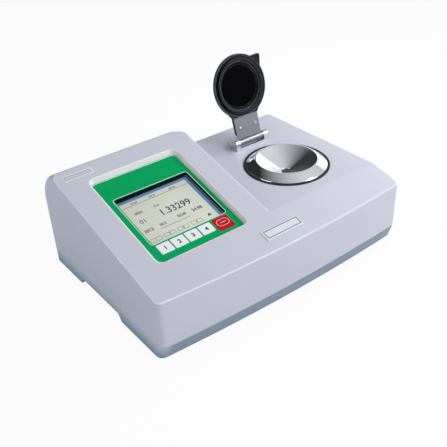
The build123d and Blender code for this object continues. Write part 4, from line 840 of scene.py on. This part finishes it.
def make_camera():
    lens = bpy.data.cameras.new("camera")
    lens.lens = 56.27
    lens.sensor_width = 36.0
    camera = bpy.data.objects.new("camera", lens)
    bpy.context.scene.collection.objects.link(camera)
    turn = Matrix.Rotation(radians(camera_turn), 4, "Z") @ Matrix.Rotation(radians(90 - camera_drop), 4, "X")
    roll = Matrix.Rotation(radians(camera_roll), 4, "Z")
    camera.matrix_world = Matrix.Translation(camera_place) @ turn @ roll
    bpy.context.scene.camera = camera


def make_floor():
    bpy.ops.mesh.primitive_plane_add(size=12, location=(0, 0, -floor_drop))
    floor = bpy.context.object
    floor.name = "floor"
    finish = Finish("floor_white")
    finish.set(Base_Color=(0.86, 0.86, 0.87, 1), Roughness=0.9)
    glow = finish.node("ShaderNodeEmission", {}, {"Color": (1, 1, 1, 1), "Strength": 1.0})
    seen = finish.node("ShaderNodeLightPath", output="Is Camera Ray")
    mixed = finish.node("ShaderNodeMixShader", {}, {
        0: seen * floor_glow, 1: Signal(finish, finish.shader.outputs[0]), 2: glow,
    })
    finish.feed(finish.tree.nodes["Material Output"].inputs["Surface"], mixed)
    floor.data.materials.append(finish.material)


def make_lamp(name, place, target, size, power, colour):
    """A flat lamp that lights the instrument but isn't mirrored in it; size in metres, power in watts."""
    lamp = bpy.data.lights.new(name, "AREA")
    lamp.shape = "RECTANGLE"
    lamp.size, lamp.size_y = size
    lamp.energy = power
    lamp.color = colour
    stand = bpy.data.objects.new(name, lamp)
    stand.visible_glossy = False
    bpy.context.scene.collection.objects.link(stand)
    aim = (Vector(target) - Vector(place)).to_track_quat("-Z", "Y")
    stand.matrix_world = Matrix.Translation(place) @ aim.to_matrix().to_4x4()


def make_world():
    """Even light all round, also through glass, and near white to the camera.

    Shiny parts see instead a light that falls off from the right front to the left rear, with a pale horizon
    that breaks off at the back, a window at the right and two soft boxes.
    """
    sky = Finish("studio", "worlds")
    bpy.context.scene.world = sky.material
    direction = sky.node("ShaderNodeTexCoord", output="Generated")

    def bright_patch(middle, outer, shade_line, strength):
        """A round patch; outer and inner are the cosines of its half widths."""
        return sky.spread(sky.along(direction, Vector(middle).normalized()), outer, shade_line, 0.0, strength)

    side = sky.spread(sky.along(direction, (0.55, -0.45, 0.70)), 0.08, 0.95, 0.03, 0.78)
    level = sky.node("ShaderNodeMath", {"operation": "ABSOLUTE"}, {0: sky.along(direction, (0, 0, 1))})
    back = sky.spread(sky.along(direction, Vector((0.15, 0.95, 0.25)).normalized()), 0.55, 0.90, 1.0, 0.0)
    horizon = sky.spread(level, 0.05, 0.35, 0.8, 0.0) * back
    front_box = bright_patch((0.494, -0.60, 0.60), 0.94, 0.98, 10.0)
    left_box = bright_patch((-0.88, 0.20, 0.42), 0.94, 0.98, 12.0)
    window = bright_patch((0.88, 0.44, 0.18), 0.86, 0.97, 1.7)
    seen = side + horizon + front_box + left_box + window

    through = sky.node("ShaderNodeLightPath", output="Is Transmission Ray")
    shiny = sky.node("ShaderNodeLightPath", output="Is Glossy Ray") * (1 - through)
    watched = sky.node("ShaderNodeLightPath", output="Is Camera Ray")
    plain = (1 - shiny) * (room_light + watched * watched_light)
    tint = sky.blend(watched, (0.93, 0.95, 1.0, 1), (1.0, 1.0, 1.0, 1))
    sky.set(Color=tint, Strength=seen * shiny + plain)


make_camera()
make_floor()
make_world()
make_lamp("key_lamp", (0.9, -1.5, 1.3), lit_middle, (0.8, 0.8), 18.5, white)
make_lamp("end_lamp", (0.62, 0.0, 0.60), lit_end, (0.4, 0.4), 2.1, white)
make_lamp("side_lamp", (-1.7, 0.2, 0.9), lit_middle, (1.0, 0.8), 4.0, pale_blue)

scene = bpy.context.scene
scene.view_settings.view_transform = "Standard"
